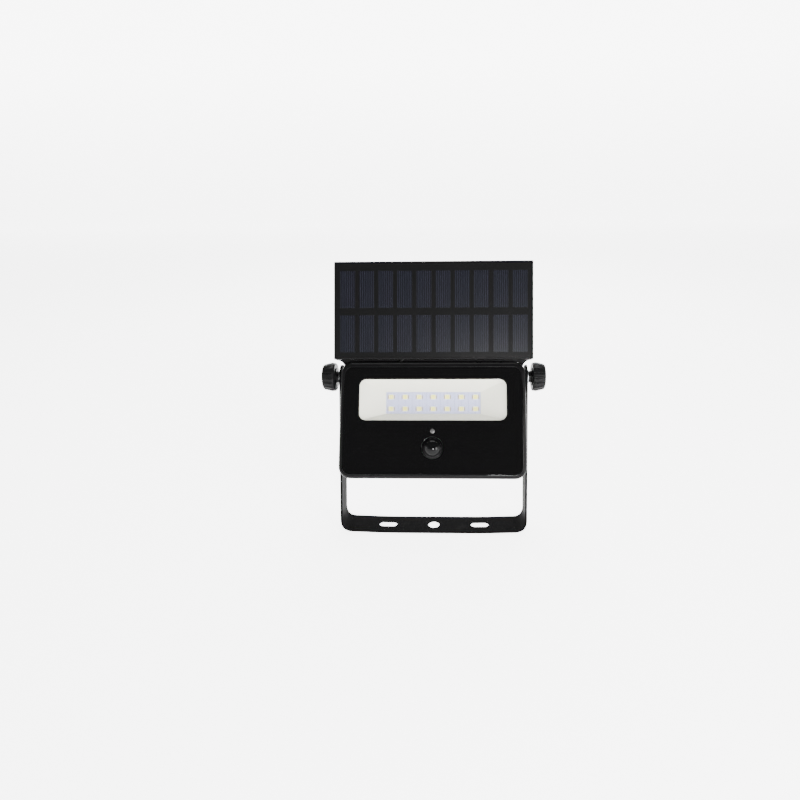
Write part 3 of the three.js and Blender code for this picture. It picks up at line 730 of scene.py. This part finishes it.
def make_camera():
    place = PIVOT + RIGHT * CAMERA_RIGHT - UP * CAMERA_BELOW_PIVOT - AWAY * STAND_OFF
    bpy.ops.object.camera_add(location=place)
    camera = bpy.context.object
    camera.name = "view"
    ahead = Matrix.Rotation(LOOK_LEFT, 3, UP) @ AWAY
    side = ahead.cross(UP)
    camera.matrix_world = Matrix((side, UP, -ahead)).transposed().to_4x4()
    camera.location = place
    camera.data.lens = LENS
    camera.data.sensor_width = SENSOR_WIDTH
    camera.data.shift_x, camera.data.shift_y = SHIFT
    camera.data.clip_start = 0.01
    bpy.context.scene.camera = camera
    return camera


CAMERA = make_camera()
print("camera at", [round(c, 3) for c in CAMERA.location])

# %% [markdown]
# ## Light
#
# A soft panel above and behind makes the rounded top edges glint. One to the right puts a pale
# sheen on that side of the cells, a weak one on the left fills in, and a small one near the camera
# puts a spark on the round parts. The room is bright near the horizon and dim higher up, so the
# glass that mirrors the dim part stays dark.

# %% Lights
def softbox(name, at, aim, size, power):
    """A square soft light at a point, turned to look at another."""
    bpy.ops.object.light_add(type="AREA", location=at)
    lamp = bpy.context.object
    lamp.name = name
    lamp.data.size = size
    lamp.data.energy = power
    lamp.rotation_euler = (Vector(aim) - Vector(at)).to_track_quat("-Z", "Y").to_euler()
    return lamp


softbox("light_above", (0.0, 0.80, 1.15), (0, 0.05, 0.1), 1.0, 30)
softbox("light_right", (1.05, -0.95, 0.50), (0, 0.05, 0.15), 0.6, 26)
softbox("light_left", (-1.25, -0.60, 0.55), (0, 0.05, 0.15), 0.8, 3)
softbox("light_key", (0.16, -0.87, 0.40), (0, 0.05, 0.13), 0.1, 10)

HORIZON = (0.16, 5.2)  # height of the view line, and brightness up to there
OVERHEAD = (0.36, 0.2)  # the same for where the dim part starts


def make_world():
    """A pale room: bright near the horizon and dimmer overhead."""
    world = bpy.data.worlds.new("studio")
    world.use_nodes = True
    bpy.context.scene.world = world
    nodes, links = world.node_tree.nodes, world.node_tree.links
    where = nodes.new("ShaderNodeTexCoord")
    split = nodes.new("ShaderNodeSeparateXYZ")
    ramp = nodes.new("ShaderNodeMapRange")
    ramp.interpolation_type = "SMOOTHSTEP"
    for place, value in zip((1, 3, 2, 4), (*HORIZON, *OVERHEAD)):
        ramp.inputs[place].default_value = value
    links.new(where.outputs["Generated"], split.inputs[0])
    links.new(split.outputs[2], ramp.inputs[0])
    links.new(ramp.outputs[0], nodes["Background"].inputs["Strength"])
    nodes["Background"].inputs["Color"].default_value = rgb(1, 1, 1)


make_world()

# %% [markdown]
# ## Floor
#
# The floor is a light table. It glows, which keeps shadows weak and pale, and it sweeps up behind
# into a wall without a crease.

# %% The floor
FLOOR_SIDE = 7.0
FLOOR_GLOW = 4.6
WALL_HEIGHT = 1.5
SWEEP = 0.9  # radius of the fold between floor and wall


def make_floor():
    """A wide plane whose far edge is pulled up into a wall, with the fold rounded."""
    bpy.ops.object.select_all(action="DESELECT")
    bpy.ops.mesh.primitive_plane_add(size=FLOOR_SIDE, location=(0, 0, -0.3 * MM))
    floor = bpy.context.object
    floor.name = "floor"
    bpy.ops.object.transform_apply()
    back = FLOOR_SIDE / 2 - 0.1
    pick_edges(floor, lambda a, b: min(a.y, b.y) > back)
    pull(0, 0, WALL_HEIGHT)
    leave_edit()
    round_edges(floor, SWEEP, 16, lambda a, b: min(a.y, b.y) > back and max(a.z, b.z) < 0.1)
    bpy.ops.object.shade_smooth()
    f = Finish("studio_floor")
    haze = f.noise(0.5, 3.0)
    paper = f.done(
        Base_Color=f.mix(haze, rgb(0.93, 0.93, 0.93), rgb(0.9, 0.9, 0.9)),
        Roughness=0.7 + haze * 0.1,
        Specular_IOR_Level=0.1,
        Emission_Color=rgb(1, 1, 1),
        Emission_Strength=FLOOR_GLOW,
    )
    floor.data.materials.append(paper)
    print("floor:", len(floor.data.polygons), "faces")


make_floor()

# %% [markdown]
# ## Bracket
#
# The bracket is a steel strip folded into a U, with a round hole and two slots punched in its base
# and its arms leaning back to the bolt line. The engineering shape is true, so a refined copy will
# do. Punched and coated steel has an edge radius of about a third of a millimetre.

# %% The bracket
bracket = refined("mounting_bracket", "bracket_strip", 0.35 * MM)
settle(bracket, ROOM, "bracket", STEEL_BLACK, "black_steel", "mounting_bracket")

# %% [markdown]
# ## Bezel
#
# The bezel is one moulding: a shallow tray whose top edge is rolled over more generously than its
# sides. It starts as a box. Its corners are bevelled, then its front rim, with the bevel's weight
# rising towards the top. The glass sits in a recess made by an inset and a push inwards.

# %% The bezel
bezel_low, bezel_high = box_on(HEAD, "front_bezel")
glass_low, glass_high = box_on(HEAD, "front_glass")
CORNER = 12 * MM
TOP_ROLL = 5.6 * MM
SIDE_ROLL = 3.2 * MM
ROLL_START, ROLL_SPAN = 0.8, 0.19  # where the rim's roll starts to widen, as a share of its height
RECESS = 3.2 * MM  # how far the glass's ledge lies behind the face
BEZEL_RIM = 9 * MM  # from the outside to the opening


def make_bezel():
    bezel = slab("bezel_shell", bezel_low, bezel_high, CORNER)
    weights = bezel.data.attributes.new("bevel_weight_edge", "FLOAT", "EDGE")
    points = bezel.data.vertices
    span = bezel_high.z - bezel_low.z
    for edge in bezel.data.edges:
        a, b = (points[i].co for i in edge.vertices)
        if max(a.y, b.y) < bezel_low.y + 1e-5:
            height = ((a.z + b.z) / 2 - bezel_low.z) / span
            rise = min(1.0, max(0.0, (height - ROLL_START) / ROLL_SPAN))
            share = rise * rise * (3 - 2 * rise)
            roll = SIDE_ROLL + (TOP_ROLL - SIDE_ROLL) * share
            weights.data[edge.index].value = roll / TOP_ROLL
    modifier = bezel.modifiers.new("roll", "BEVEL")
    modifier.limit_method = "WEIGHT"
    modifier.width = TOP_ROLL
    modifier.segments = 6
    modifier.use_clamp_overlap = False
    only(bezel)
    bpy.ops.object.modifier_apply(modifier=modifier.name)
    # The recess for the glass, then the opening through to the back
    pick_faces(bezel, lambda face: face.normal.y < -0.99 and face.area > 0.005)
    bpy.ops.mesh.inset(thickness=0.35 * MM)
    pull(0, RECESS, 0)
    leave_edit()
    rim = Vector((BEZEL_RIM, 0, BEZEL_RIM))
    low, high = bezel_low + rim, bezel_high - rim
    low.y, high.y = bezel_low.y + MM, bezel_high.y + MM
    opening = slab("opening", low, high, 6 * MM)
    return soften(cut(bezel, opening), 0.25 * MM)


bezel = make_bezel()
settle(bezel, HEAD, "head", CASE_BLACK, "black_plastic", "front_bezel")

# %% [markdown]
# ## Front glass
#
# The glass is a polished plate with black ink behind it, left clear over the reflector. A printed
# plate with a window cut in it and a clear plate in the window give the two finishes, and both
# edges stay crisp. Two round holes let the sensors look out.

# %% The glass
funnel_low, funnel_high = box_on(HEAD, "reflector")
lens_low, lens_high = box_on(HEAD, "pir_lens")
spot_low, spot_high = box_on(HEAD, "light_sensor")
WINDOW = Vector((146.7, 0, 41.2)) * MM
WINDOW_CORNER = 7 * MM
WINDOW_CENTRE = (funnel_low + funnel_high) / 2
LENS_HOLE = 11.0 * MM
SPOT_HOLE = 2.25 * MM


def window_box(grow, y0, y1):
    """The window's corners, grown by a little, from one depth to another."""
    half = WINDOW / 2 + Vector((grow, 0, grow))
    low = Vector((-half.x, y0, WINDOW_CENTRE.z - half.z))
    high = Vector((half.x, y1, WINDOW_CENTRE.z + half.z))
    return low, high


def make_glass():
    inset = SIDE_ROLL + 0.5 * MM
    low = Vector((bezel_low.x + inset, glass_low.y, bezel_low.z + inset))
    high = Vector((bezel_high.x - inset, glass_high.y, bezel_high.z - TOP_ROLL - 0.5 * MM))
    plate = slab("glass_print", low, high, CORNER - SIDE_ROLL - 0.4 * MM, segments=12)
    through = (low.y - MM, high.y + MM)
    opening = slab("opening", *window_box(0, *through), WINDOW_CORNER, segments=12)
    lens_z = (lens_low.z + lens_high.z) / 2
    spot_z = (spot_low.z + spot_high.z) / 2
    lens_hole = start_rod("hole", "Y", LENS_HOLE, *through, (0, 0, lens_z), 64)
    spot_hole = start_rod("hole", "Y", SPOT_HOLE, *through, (0, 0, spot_z), 32)
    cut(plate, opening, lens_hole, spot_hole)
    soften(plate, 0.3 * MM)
    pane_low, pane_high = window_box(-0.05 * MM, low.y + 0.1 * MM, high.y)
    pane = slab("glass_window", pane_low, pane_high, WINDOW_CORNER, segments=12)
    soften(pane, 0.15 * MM)
    return plate, pane


glass_print, glass_window = make_glass()
settle(glass_print, HEAD, "head", GLASS_BLACK, "black_glass", "front_glass")
settle(glass_window, HEAD, "head", GLASS_CLEAR, "black_glass")

# %% [markdown]
# ## Reflector
#
# The reflector is a white funnel of four flat walls that meet in creases. Its mouth is a little
# larger than the window in the print, which trims it to round corners. The front face of a plate
# is kept as a sheet, pushed in, shrunk to the floor's size and opened, and a thickness is added
# behind it. A thin flat rim with round corners lies on its mouth, just behind the glass.

# %% The reflector
FLOOR_SIZE = Vector((96.5, 0, 22)) * MM
FLOOR_DROP = 1.5 * MM  # the floor sits a little below the window's middle
MOUTH_GROW = 0.9 * MM  # how far the mouth reaches past the window's edge
RIM_SHOWN = 0.8 * MM  # how much of the mouth's rim shows inside the window
FUNNEL_WALL = 1.1 * MM


def make_reflector():
    low, high = window_box(MOUTH_GROW, funnel_low.y, funnel_low.y + MM)
    piece = slab("reflector_funnel", low, high, 1.6 * MM, segments=4)
    pick_faces(piece, lambda face: face.normal.y > -0.5)
    bpy.ops.mesh.delete(type="FACE")
    leave_edit()
    # A sheet is left: inset it for the rim, then push the middle in and shrink it
    pick_faces(piece, lambda face: True)
    bpy.ops.mesh.inset(thickness=0.7 * MM)
    pull(0, 0.5 * MM, 0)
    middle = Vector((0, low.y, WINDOW_CENTRE.z))
    scale = (FLOOR_SIZE.x / WINDOW.x, 1, FLOOR_SIZE.z / WINDOW.z)
    depth = funnel_high.y - low.y - 1.4 * MM
    pull(0, depth, -FLOOR_DROP)
    bpy.ops.transform.resize(value=scale, center_override=middle - Vector((0, 0, FLOOR_DROP)))
    bpy.ops.mesh.delete(type="FACE")
    leave_edit()
    modifier = piece.modifiers.new("wall", "SOLIDIFY")
    modifier.thickness = FUNNEL_WALL
    modifier.offset = -1
    only(piece)
    bpy.ops.object.modifier_apply(modifier=modifier.name)
    bpy.ops.object.mode_set(mode="EDIT")
    bpy.ops.mesh.select_all(action="SELECT")
    bpy.ops.mesh.normals_make_consistent(inside=False)
    leave_edit()
    soften(piece, 0.12 * MM, 2, 20)
    ring_low, ring_high = window_box(MOUTH_GROW, low.y - 0.25 * MM, low.y + 0.1 * MM)
    ring = slab("rim", ring_low, ring_high, WINDOW_CORNER + MOUTH_GROW)
    inner_low, inner_high = window_box(-RIM_SHOWN, low.y - MM, low.y + MM)
    opening = slab("opening", inner_low, inner_high, WINDOW_CORNER - RIM_SHOWN)
    soften(cut(ring, opening), 0.06 * MM, 1)
    return joined(piece, [ring])


reflector = make_reflector()
settle(reflector, HEAD, "head", REFLECTOR_WHITE, "white_plastic", "reflector")

# %% [markdown]
# ## LEDs
#
# Each LED is a white ceramic frame with a yellow pool of phosphor, soldered down by a pad at each
# end. One is modelled and copied to each place, with three finishes on one mesh.

# %% The LEDs
LED_COUNT = 14
LED_HALF = 2.55 * MM
LED_TALL = 0.95 * MM
PAD_IN, PAD_OUT = 2.35 * MM, 3.7 * MM  # a solder pad's reach along X
PAD_HALF = 1.9 * MM


def finished(piece):
    """Gives a piece the three finishes of an LED: 0 its body, 1 its pool, 2 its pads."""
    for material in (LED_WHITE, PHOSPHOR, SOLDER):
        piece.data.materials.append(material)
    return piece


def make_pad(side):
    """A pad of solder, mostly outside the body, with its outer rim rounded."""
    x = sorted((side * PAD_IN, side * PAD_OUT))
    pad = start_box("pad", (x[0], -0.34 * MM, -PAD_HALF), (x[1], 0.05 * MM, PAD_HALF))
    end = PAD_OUT - 0.01 * MM

    def outer_rim(a, b):
        return min(a.x * side, b.x * side) > end and max(a.y, b.y) < 0

    round_edges(pad, 0.3 * MM, 3, outer_rim)
    for face in finished(pad).data.polygons:
        face.material_index = 2
    return pad


def make_led():
    """An LED on the bench, facing -Y, with its back at y = 0."""
    led = start_box("led", (-LED_HALF, -LED_TALL, -LED_HALF), (LED_HALF, 0, LED_HALF))
    round_edges(led, 0.6 * MM, 3, lambda a, b: abs(a.y - b.y) > LED_TALL / 2)
    finished(led)
    pick_faces(led, lambda face: face.normal.y < -0.99)
    bpy.ops.mesh.inset(thickness=0.42 * MM)
    pull(0, 0.3 * MM, 0)
    led.active_material_index = 1
    bpy.ops.object.material_slot_assign()
    bpy.ops.mesh.inset(thickness=0.14 * MM)
    bpy.ops.transform.translate(value=(0, -0.12 * MM, 0))
    leave_edit()
    for side in (-1, 1):
        joined(led, [make_pad(side)])
    return soften(led, 0.05 * MM, 1)


master = make_led()
for node in [f"led_{i + 1}" for i in range(LED_COUNT)]:
    low, high = box_on(HEAD, node)
    led = master.copy()
    led.data = master.data.copy()
    led.name = f"lamp_{node}"
    bpy.context.scene.collection.objects.link(led)
    led.matrix_world = Matrix.Translation(((low.x + high.x) / 2, high.y, (low.z + high.z) / 2))
    only(led)
    bpy.ops.object.transform_apply()
    settle(led, HEAD, "head", None, "phosphor", node)
bpy.data.objects.remove(master)

# %% [markdown]
# ## Motion sensor lens
#
# The sensor looks out through a dome of black polythene with steps moulded round its foot. A dome
# is a turned shape, so its section is drawn as a row of points and spun round.

# %% A turned shape
def spun(name, profile, centre, steps=64):
    """A row of (radius, y) points turned about the Y line through centre."""
    bpy.ops.object.select_all(action="DESELECT")
    mesh = bpy.data.meshes.new(name)
    rows = [(centre[0] + r, y, centre[2]) for r, y in profile]
    mesh.from_pydata(rows, [(i, i + 1) for i in range(len(rows) - 1)], [])
    piece = bpy.data.objects.new(name, mesh)
    bpy.context.scene.collection.objects.link(piece)
    only(piece)
    bpy.ops.object.mode_set(mode="EDIT")
    bpy.ops.mesh.select_all(action="SELECT")
    bpy.ops.mesh.spin(steps=steps, angle=2 * math.pi, center=centre, axis=(0, 1, 0))
    bpy.ops.mesh.select_all(action="SELECT")
    bpy.ops.mesh.remove_doubles(threshold=TINY)
    bpy.ops.mesh.normals_make_consistent(inside=False)
    leave_edit()
    bpy.ops.object.shade_smooth_by_angle(angle=math.radians(32))
    print(name, "turned from", len(profile), "points")
    return piece


# %% The lens
LENS_FLANGE = 1.8 * MM  # the hidden ring that holds the lens behind the glass
FOOT_STEPS = (0.8, 0.88, 0.95)  # where the steps round the foot start, as shares of its radius
FOOT_HEIGHT = 1.2 * MM
STEP_FALL = 0.42 * MM


def make_lens():
    centre = ((lens_low.x + lens_high.x) / 2, 0, (lens_low.z + lens_high.z) / 2)
    radius = (lens_high.x - lens_low.x) / 2 - LENS_FLANGE
    crown, foot = lens_low.y, lens_high.y
    y = glass_low.y - FOOT_HEIGHT
    profile = [(0, crown)]
    steps = 12
    dome = radius * FOOT_STEPS[0]
    for i in range(1, steps + 1):
        a = i * math.pi / 2 / steps
        profile.append((dome * math.sin(a), crown + (y - crown) * (1 - math.cos(a))))
    for share in FOOT_STEPS:
        profile += [(radius * share, y), (radius * (share + 0.055), y + 0.12 * MM)]
        y += STEP_FALL
    profile += [(radius, y), (radius, foot), (radius - 1.2 * MM, foot), (0, foot - 0.4 * MM)]
    return spun("sensor_dome", profile, centre)


lens = make_lens()
settle(lens, HEAD, "head", LENS_BLACK, "lens_plastic", "pir_lens")

# %% The light sensor's plug
PLUG_RISE = 0.35 * MM


def make_light_sensor():
    """A short plug of grey resin with a domed end."""
    centre = (0, 0, (spot_low.z + spot_high.z) / 2)
    r = (spot_high.x - spot_low.x) / 2
    profile = [(0, spot_low.y - PLUG_RISE)]
    for i in range(1, 6):
        a = i * math.pi / 10
        profile.append((r * math.sin(a), spot_low.y - PLUG_RISE * math.cos(a)))
    profile += [(r, spot_high.y), (0, spot_high.y)]
    return spun("light_sensor_plug", profile, centre, 32)


settle(make_light_sensor(), HEAD, "head", SENSOR_GREY, "sensor_grey", "light_sensor")

# %% [markdown]
# ## Rear housing
#
# The back is a plain moulding with a round top that follows the bolt line, so that the panel can
# swing over it. A refined copy keeps that. Ribs on the back stiffen it and let the board's heat
# out, and they are modelled once and copied along.

# %% The housing and its ribs
housing = refined("rear_housing", "housing_shell", 0.5 * MM)
settle(housing, ROOM, "head", CASE_BLACK, "black_plastic", "rear_housing")
housing_back = box_on(HEAD, "rear_housing")[1].y
RIB_COUNT = 11
RIB_PITCH = 8 * MM
RIB_MIDDLE = 24 * MM  # the middle rib's place along X, clear of the button
RIB_HALF = 0.9 * MM
RIB_ENDS = (-88 * MM, -38 * MM)


def make_rib(x):
    y = housing_back
    low = (x - RIB_HALF, y - 1.5 * MM, RIB_ENDS[0])
    rib = start_box("rib", low, (x + RIB_HALF, y + 1.1 * MM, RIB_ENDS[1]))
    round_edges(rib, 0.8 * MM, 4, lambda a, b: min(a.y, b.y) > y and abs(a.z - b.z) < MM)
    return soften(rib, 0.3 * MM, 2)


def make_ribs():
    places = [(i - (RIB_COUNT - 1) / 2) * RIB_PITCH + RIB_MIDDLE for i in range(RIB_COUNT)]
    ribs = [make_rib(x) for x in places]
    return joined(ribs[0], ribs[1:], "housing_ribs")


settle(make_ribs(), HEAD, "head", CASE_BLACK, "black_plastic")

# %% [markdown]
# ## Knobs
#
# Each knob is a drum with grip flutes. It starts as a cylinder with four sides to every flute. Its
# outer end is drawn in, a slimmer root is pulled out of its inner end, and both rims are rounded.
# The flutes are picked out one face in four, inset, and pushed in.

# %% The knobs
FLUTES = 18
SIDES = FLUTES * 4
GRIP_START = 3.7 * MM  # from the hub's inner end to the drum
ROOT = 4 * MM  # length of the slimmer part of the drum
FLUTE_DEPTH = 0.75 * MM
DISH_DEPTH = 0.7 * MM
HUB_RADIUS = 6 * MM
NECK_RADIUS = 9.5 * MM


def make_drum(name, radius, grip, outer):
    """The part that a hand turns, from grip to outer along X."""
    drum = start_rod(name, "X", radius, grip + ROOT, outer, sides=SIDES)
    pick_faces(drum, lambda face: face.normal.x > 0.9)
    bpy.ops.transform.resize(value=(1, 0.86, 0.86), center_override=(outer, 0, 0))
    leave_edit()
    pick_faces(drum, lambda face: face.normal.x < -0.9)
    pull(-ROOT, 0, 0)
    bpy.ops.transform.resize(value=(1, 0.95, 0.95), center_override=(grip, 0, 0))
    leave_edit()

    def on_rim(a, b):
        return abs(a.x - b.x) < TINY and a.yz.length > radius * 0.8

    round_edges(drum, 1.9 * MM, 4, lambda a, b: on_rim(a, b) and a.x > outer - 1e-5)
    round_edges(drum, 0.9 * MM, 3, lambda a, b: on_rim(a, b) and a.x < grip + 1e-5)
    # The flutes
    turn = 2 * math.pi / SIDES

    def is_flute(face):
        c = face.center
        number = round(math.atan2(c.z, c.y) / turn - 0.5)
        return number % 4 == 0 and abs(face.normal.x) < 0.35 and face.area > 3e-6

    pick_faces(drum, is_flute)
    bpy.ops.mesh.inset(thickness=0.14 * MM)
    bpy.ops.mesh.extrude_region_shrink_fatten(TRANSFORM_OT_shrink_fatten={"value": -FLUTE_DEPTH})
    leave_edit()
    # A shallow dish in the outer end
    pick_faces(drum, lambda face: face.normal.x > 0.999 and face.center.x > outer - MM / 2)
    bpy.ops.mesh.inset(thickness=1.2 * MM)
    pull(-DISH_DEPTH, 0, 0)
    bpy.ops.mesh.inset(thickness=1.2 * MM)
    bpy.ops.mesh.inset(thickness=4.0 * MM)
    bpy.ops.transform.translate(value=(0.5 * MM, 0, 0))
    leave_edit()
    return soften(drum, 0.3 * MM, 2, 30)


def make_knob(name, sign, node):
    """A drum on a neck on a hub, made for the right side and mirrored for the left."""
    low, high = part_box(node)
    inner = min(abs(low.x), abs(high.x))
    outer = max(abs(low.x), abs(high.x))
    grip = inner + GRIP_START
    drum = make_drum(name, (high.z - low.z) / 2, grip, outer)
    hub = start_rod("hub", "X", HUB_RADIUS, inner, grip + 0.5 * MM)
    round_edges(hub, 0.6 * MM, 3, lambda a, b: max(a.x, b.x) < inner + 1e-5)
    neck = start_rod("neck", "X", NECK_RADIUS, grip - 0.9 * MM, grip + 0.5 * MM)
    round_edges(neck, 0.5 * MM, 2, lambda a, b: max(a.x, b.x) < grip)
    joined(drum, [soften(part, 0.1 * MM, 1) for part in (hub, neck)])
    if sign < 0:
        bpy.ops.object.mode_set(mode="EDIT")
        bpy.ops.mesh.select_all(action="SELECT")
        bpy.ops.transform.mirror(constraint_axis=(True, False, False), center_override=(0, 0, 0))
        bpy.ops.mesh.normals_make_consistent(inside=False)
        leave_edit()
    return drum


BOLT_LINE = Matrix.Translation(PIVOT)
for side, sign in (("left", -1), ("right", 1)):
    node = f"{side}_knob"
    knob = make_knob(f"{side}_grip_knob", sign, node)
    settle(knob, BOLT_LINE, node, KNOB_BLACK, "knob_plastic", node)

# %% [markdown]
# ## Solar panel
#
# The tray and its back cover are refined copies. On the tray lies a laminate with a soft edge,
# and on that the silicon: twenty thin strips in two rows, each with its own small bevel so that
# the light breaks at its border.

# %% The tray and the laminate
tray = refined("panel_tray", "panel_frame", 0.3 * MM)
settle(tray, ROOM, "panel", TRAY_BLACK, "black_plastic", "panel_tray")
sheet_low, sheet_high = box_on(PANEL, "solar_laminate")

laminate = slab("laminate_sheet", sheet_low, sheet_high, 1.0 * MM, 0.3 * MM, segments=4)
soften(laminate, 0.1 * MM, 1)
settle(laminate, PANEL, "panel", BACKING, "solar_cell", "solar_laminate")

# %% The silicon strips
CELL_COLUMNS = 10
CELL_ROWS = 2
CELL = Vector((15.1, 0.05, 37.6)) * MM
ROW_GAP = 7.6 * MM
CELL_TOP = 9.8 * MM  # from the panel's top edge to the upper row
tray_top = box_on(PANEL, "panel_tray")[1].z


def make_cells():
    """Every strip is a thin plate that stands a twentieth of a millimetre proud."""
    cells = []
    for row in range(CELL_ROWS):
        for column in range(CELL_COLUMNS):
            x = (column - (CELL_COLUMNS - 1) / 2) * CELL_PITCH + CELL_SHIFT
            top = tray_top - CELL_TOP - row * (CELL.z + ROW_GAP)
            low = (x - CELL.x / 2, sheet_low.y - CELL.y, top - CELL.z)
            cell = start_box("cell", low, (x + CELL.x / 2, sheet_low.y + 0.05 * MM, top))
            front = low[1] + TINY
            round_edges(cell, 0.03 * MM, 1, lambda a, b: a.y < front and b.y < front)
            cells.append(cell)
    return joined(cells[0], cells[1:], "silicon_strips")


settle(make_cells(), PANEL, "panel", SILICON, "solar_cell")

# %% [markdown]
# ## Back cover
#
# The cover is a thin plate. A field of shallow raised pads stops it from looking like a sheet of
# card, and is how such a plate is stiffened.

# %% The back cover
cover = refined("panel_back_cover", "panel_back_plate", 0.25 * MM)
settle(cover, ROOM, "panel", TRAY_BLACK, "black_plastic", "panel_back_cover")
cover_low, cover_high = box_on(PANEL, "panel_back_cover")
PAD_COLUMNS, PAD_ROWS = 4, 2
PAD = Vector((38, 0, 32)) * MM
PAD_PITCH = (43 * MM, 40 * MM)
PAD_LIFT = 3 * MM  # the field of pads sits a little above the cover's middle


def make_pads():
    """Two by four shallow raised pads on the cover."""
    pads = []
    y = cover_high.y
    middle = (cover_low.z + cover_high.z) / 2 + PAD_LIFT
    for row in range(PAD_ROWS):
        for column in range(PAD_COLUMNS):
            x = (column - (PAD_COLUMNS - 1) / 2) * PAD_PITCH[0]
            z = middle + (row - (PAD_ROWS - 1) / 2) * PAD_PITCH[1]
            low = (x - PAD.x / 2, y - 0.4 * MM, z - PAD.z / 2)
            pad = start_box("pad", low, (x + PAD.x / 2, y + 0.6 * MM, z + PAD.z / 2))
            round_edges(pad, 4 * MM, 6, lambda a, b: abs(a.y - b.y) > 0.5 * MM)
            pads.append(soften(pad, 0.45 * MM, 3))
    return joined(pads[0], pads[1:], "back_plate_pads")


settle(make_pads(), PANEL, "panel", TRAY_BLACK, "black_plastic")

# %% [markdown]
# ## Lead
#
# One short black lead joins the panel to the head. It is a curve with a round section, made a
# mesh, and the stretch between the two grommets turns smoothly from one to the other.

# %% The lead
LEAD_RADIUS = 1.3 * MM
entry_low, entry_high = box_on(HEAD, "head_grommet")
LEAD_X = (entry_low.x + entry_high.x) / 2
LEAD_ENTRY = Vector((LEAD_X, (entry_low.y + entry_high.y) / 2, bezel_high.z))
exit_low, exit_high = box_on(PANEL, "panel_grommet")
LEAD_EXIT = Vector((LEAD_X, (exit_low.y + exit_high.y) / 2, exit_low.z))


def lead_points():
    """The lead's route in the room, from the tray's back space to the control board."""
    exit_y, entry_y = LEAD_EXIT.y, LEAD_ENTRY.y
    wall = exit_high.z
    in_panel = [(LEAD_X, -5 * MM, 38 * MM), (LEAD_X, -5.2 * MM, 28 * MM)]
    in_panel += [(LEAD_X, exit_y, wall + 1.7 * MM), (LEAD_X, exit_y, wall - 0.8 * MM)]
    in_panel += [(LEAD_X, exit_y, wall - 2.7 * MM)]
    top = LEAD_ENTRY.z
    in_head = [(LEAD_X, entry_y, top + 0.6 * MM), (LEAD_X, entry_y, top - 2 * MM)]
    in_head += [(LEAD_X, entry_y, 7 * MM)]
    loop = [(-34, -10, 3), (-38, -5, 0.5), (-46, 0, 0), (-56, 3, -0.5), (-64, 4.5, -3)]
    loop += [(-70.3, 5.5, -12), (-71, 5.5, -28), (-70, 4, -43), (-64, -2, -53)]
    loop += [(-57, -5.6, -58)]
    in_head += [tuple(c * MM for c in p) for p in loop]
    return [PANEL @ Vector(p) for p in in_panel] + [HEAD @ Vector(p) for p in in_head]


def make_lead():
    points = lead_points()
    curve = bpy.data.curves.new("lead", "CURVE")
    curve.dimensions = "3D"
    spline = curve.splines.new("BEZIER")
    spline.bezier_points.add(len(points) - 1)
    for handle, point in zip(spline.bezier_points, points):
        handle.co = point
        handle.handle_left_type = handle.handle_right_type = "AUTO"
    curve.bevel_depth = LEAD_RADIUS
    curve.bevel_resolution = 6
    curve.resolution_u = 14
    curve.use_fill_caps = True
    lead = bpy.data.objects.new("panel_cable", curve)
    bpy.context.scene.collection.objects.link(lead)
    only(lead)
    bpy.ops.object.convert(target="MESH")
    bpy.ops.object.shade_smooth()
    return lead


lead = make_lead()
lead.data.materials.append(CABLE_BLACK)
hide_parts("panel_lead")
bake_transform(lead)
print("lead points:", len(lead.data.vertices))

# %% [markdown]
# ## Fastenings, washers and seals
#
# Small turned and stamped pieces need little more than a broken edge. The same refined copy does
# for the screws, washers, bolts, nuts, button and seals, each riding on the body its node is in.

# %% Small pieces
SMALL = {"housing_screw_": 0.18, "panel_screw_": 0.18}  # edge widths in millimetres
PAIRED = {"plain_washer": 0.15, "friction_washer": 0.2, "hinge_bolt": 0.2, "hinge_nut": 0.25}
for part, width in PAIRED.items():
    SMALL |= {f"left_{part}": width, f"right_{part}": width}
SMALL |= {"button_ring": 0.3, "power_button": 0.4}
SMALL |= {"head_grommet": 0.1, "panel_grommet": 0.1, "housing_gasket": 0.15}
BODIES = frame["record"]["behaviour"]["bodies"]
BODY_OF = {node: body for body, nodes in BODIES.items() for node in nodes}
for start, width in SMALL.items():
    for node in sorted(n for n in frame["nodes"] if n.startswith(start)):
        piece = refined(node, f"{node}_part", width * MM)
        settle(piece, ROOM, BODY_OF[node], FINISH_OF[SLOT_OF[node]], SLOT_OF[node], node)

# %% [markdown]
# ## Finish
#
# The finished light has to stay the size of the engineering model. The last line brings the
# scene up to date.

# %% The last line
bpy.context.view_layer.update()
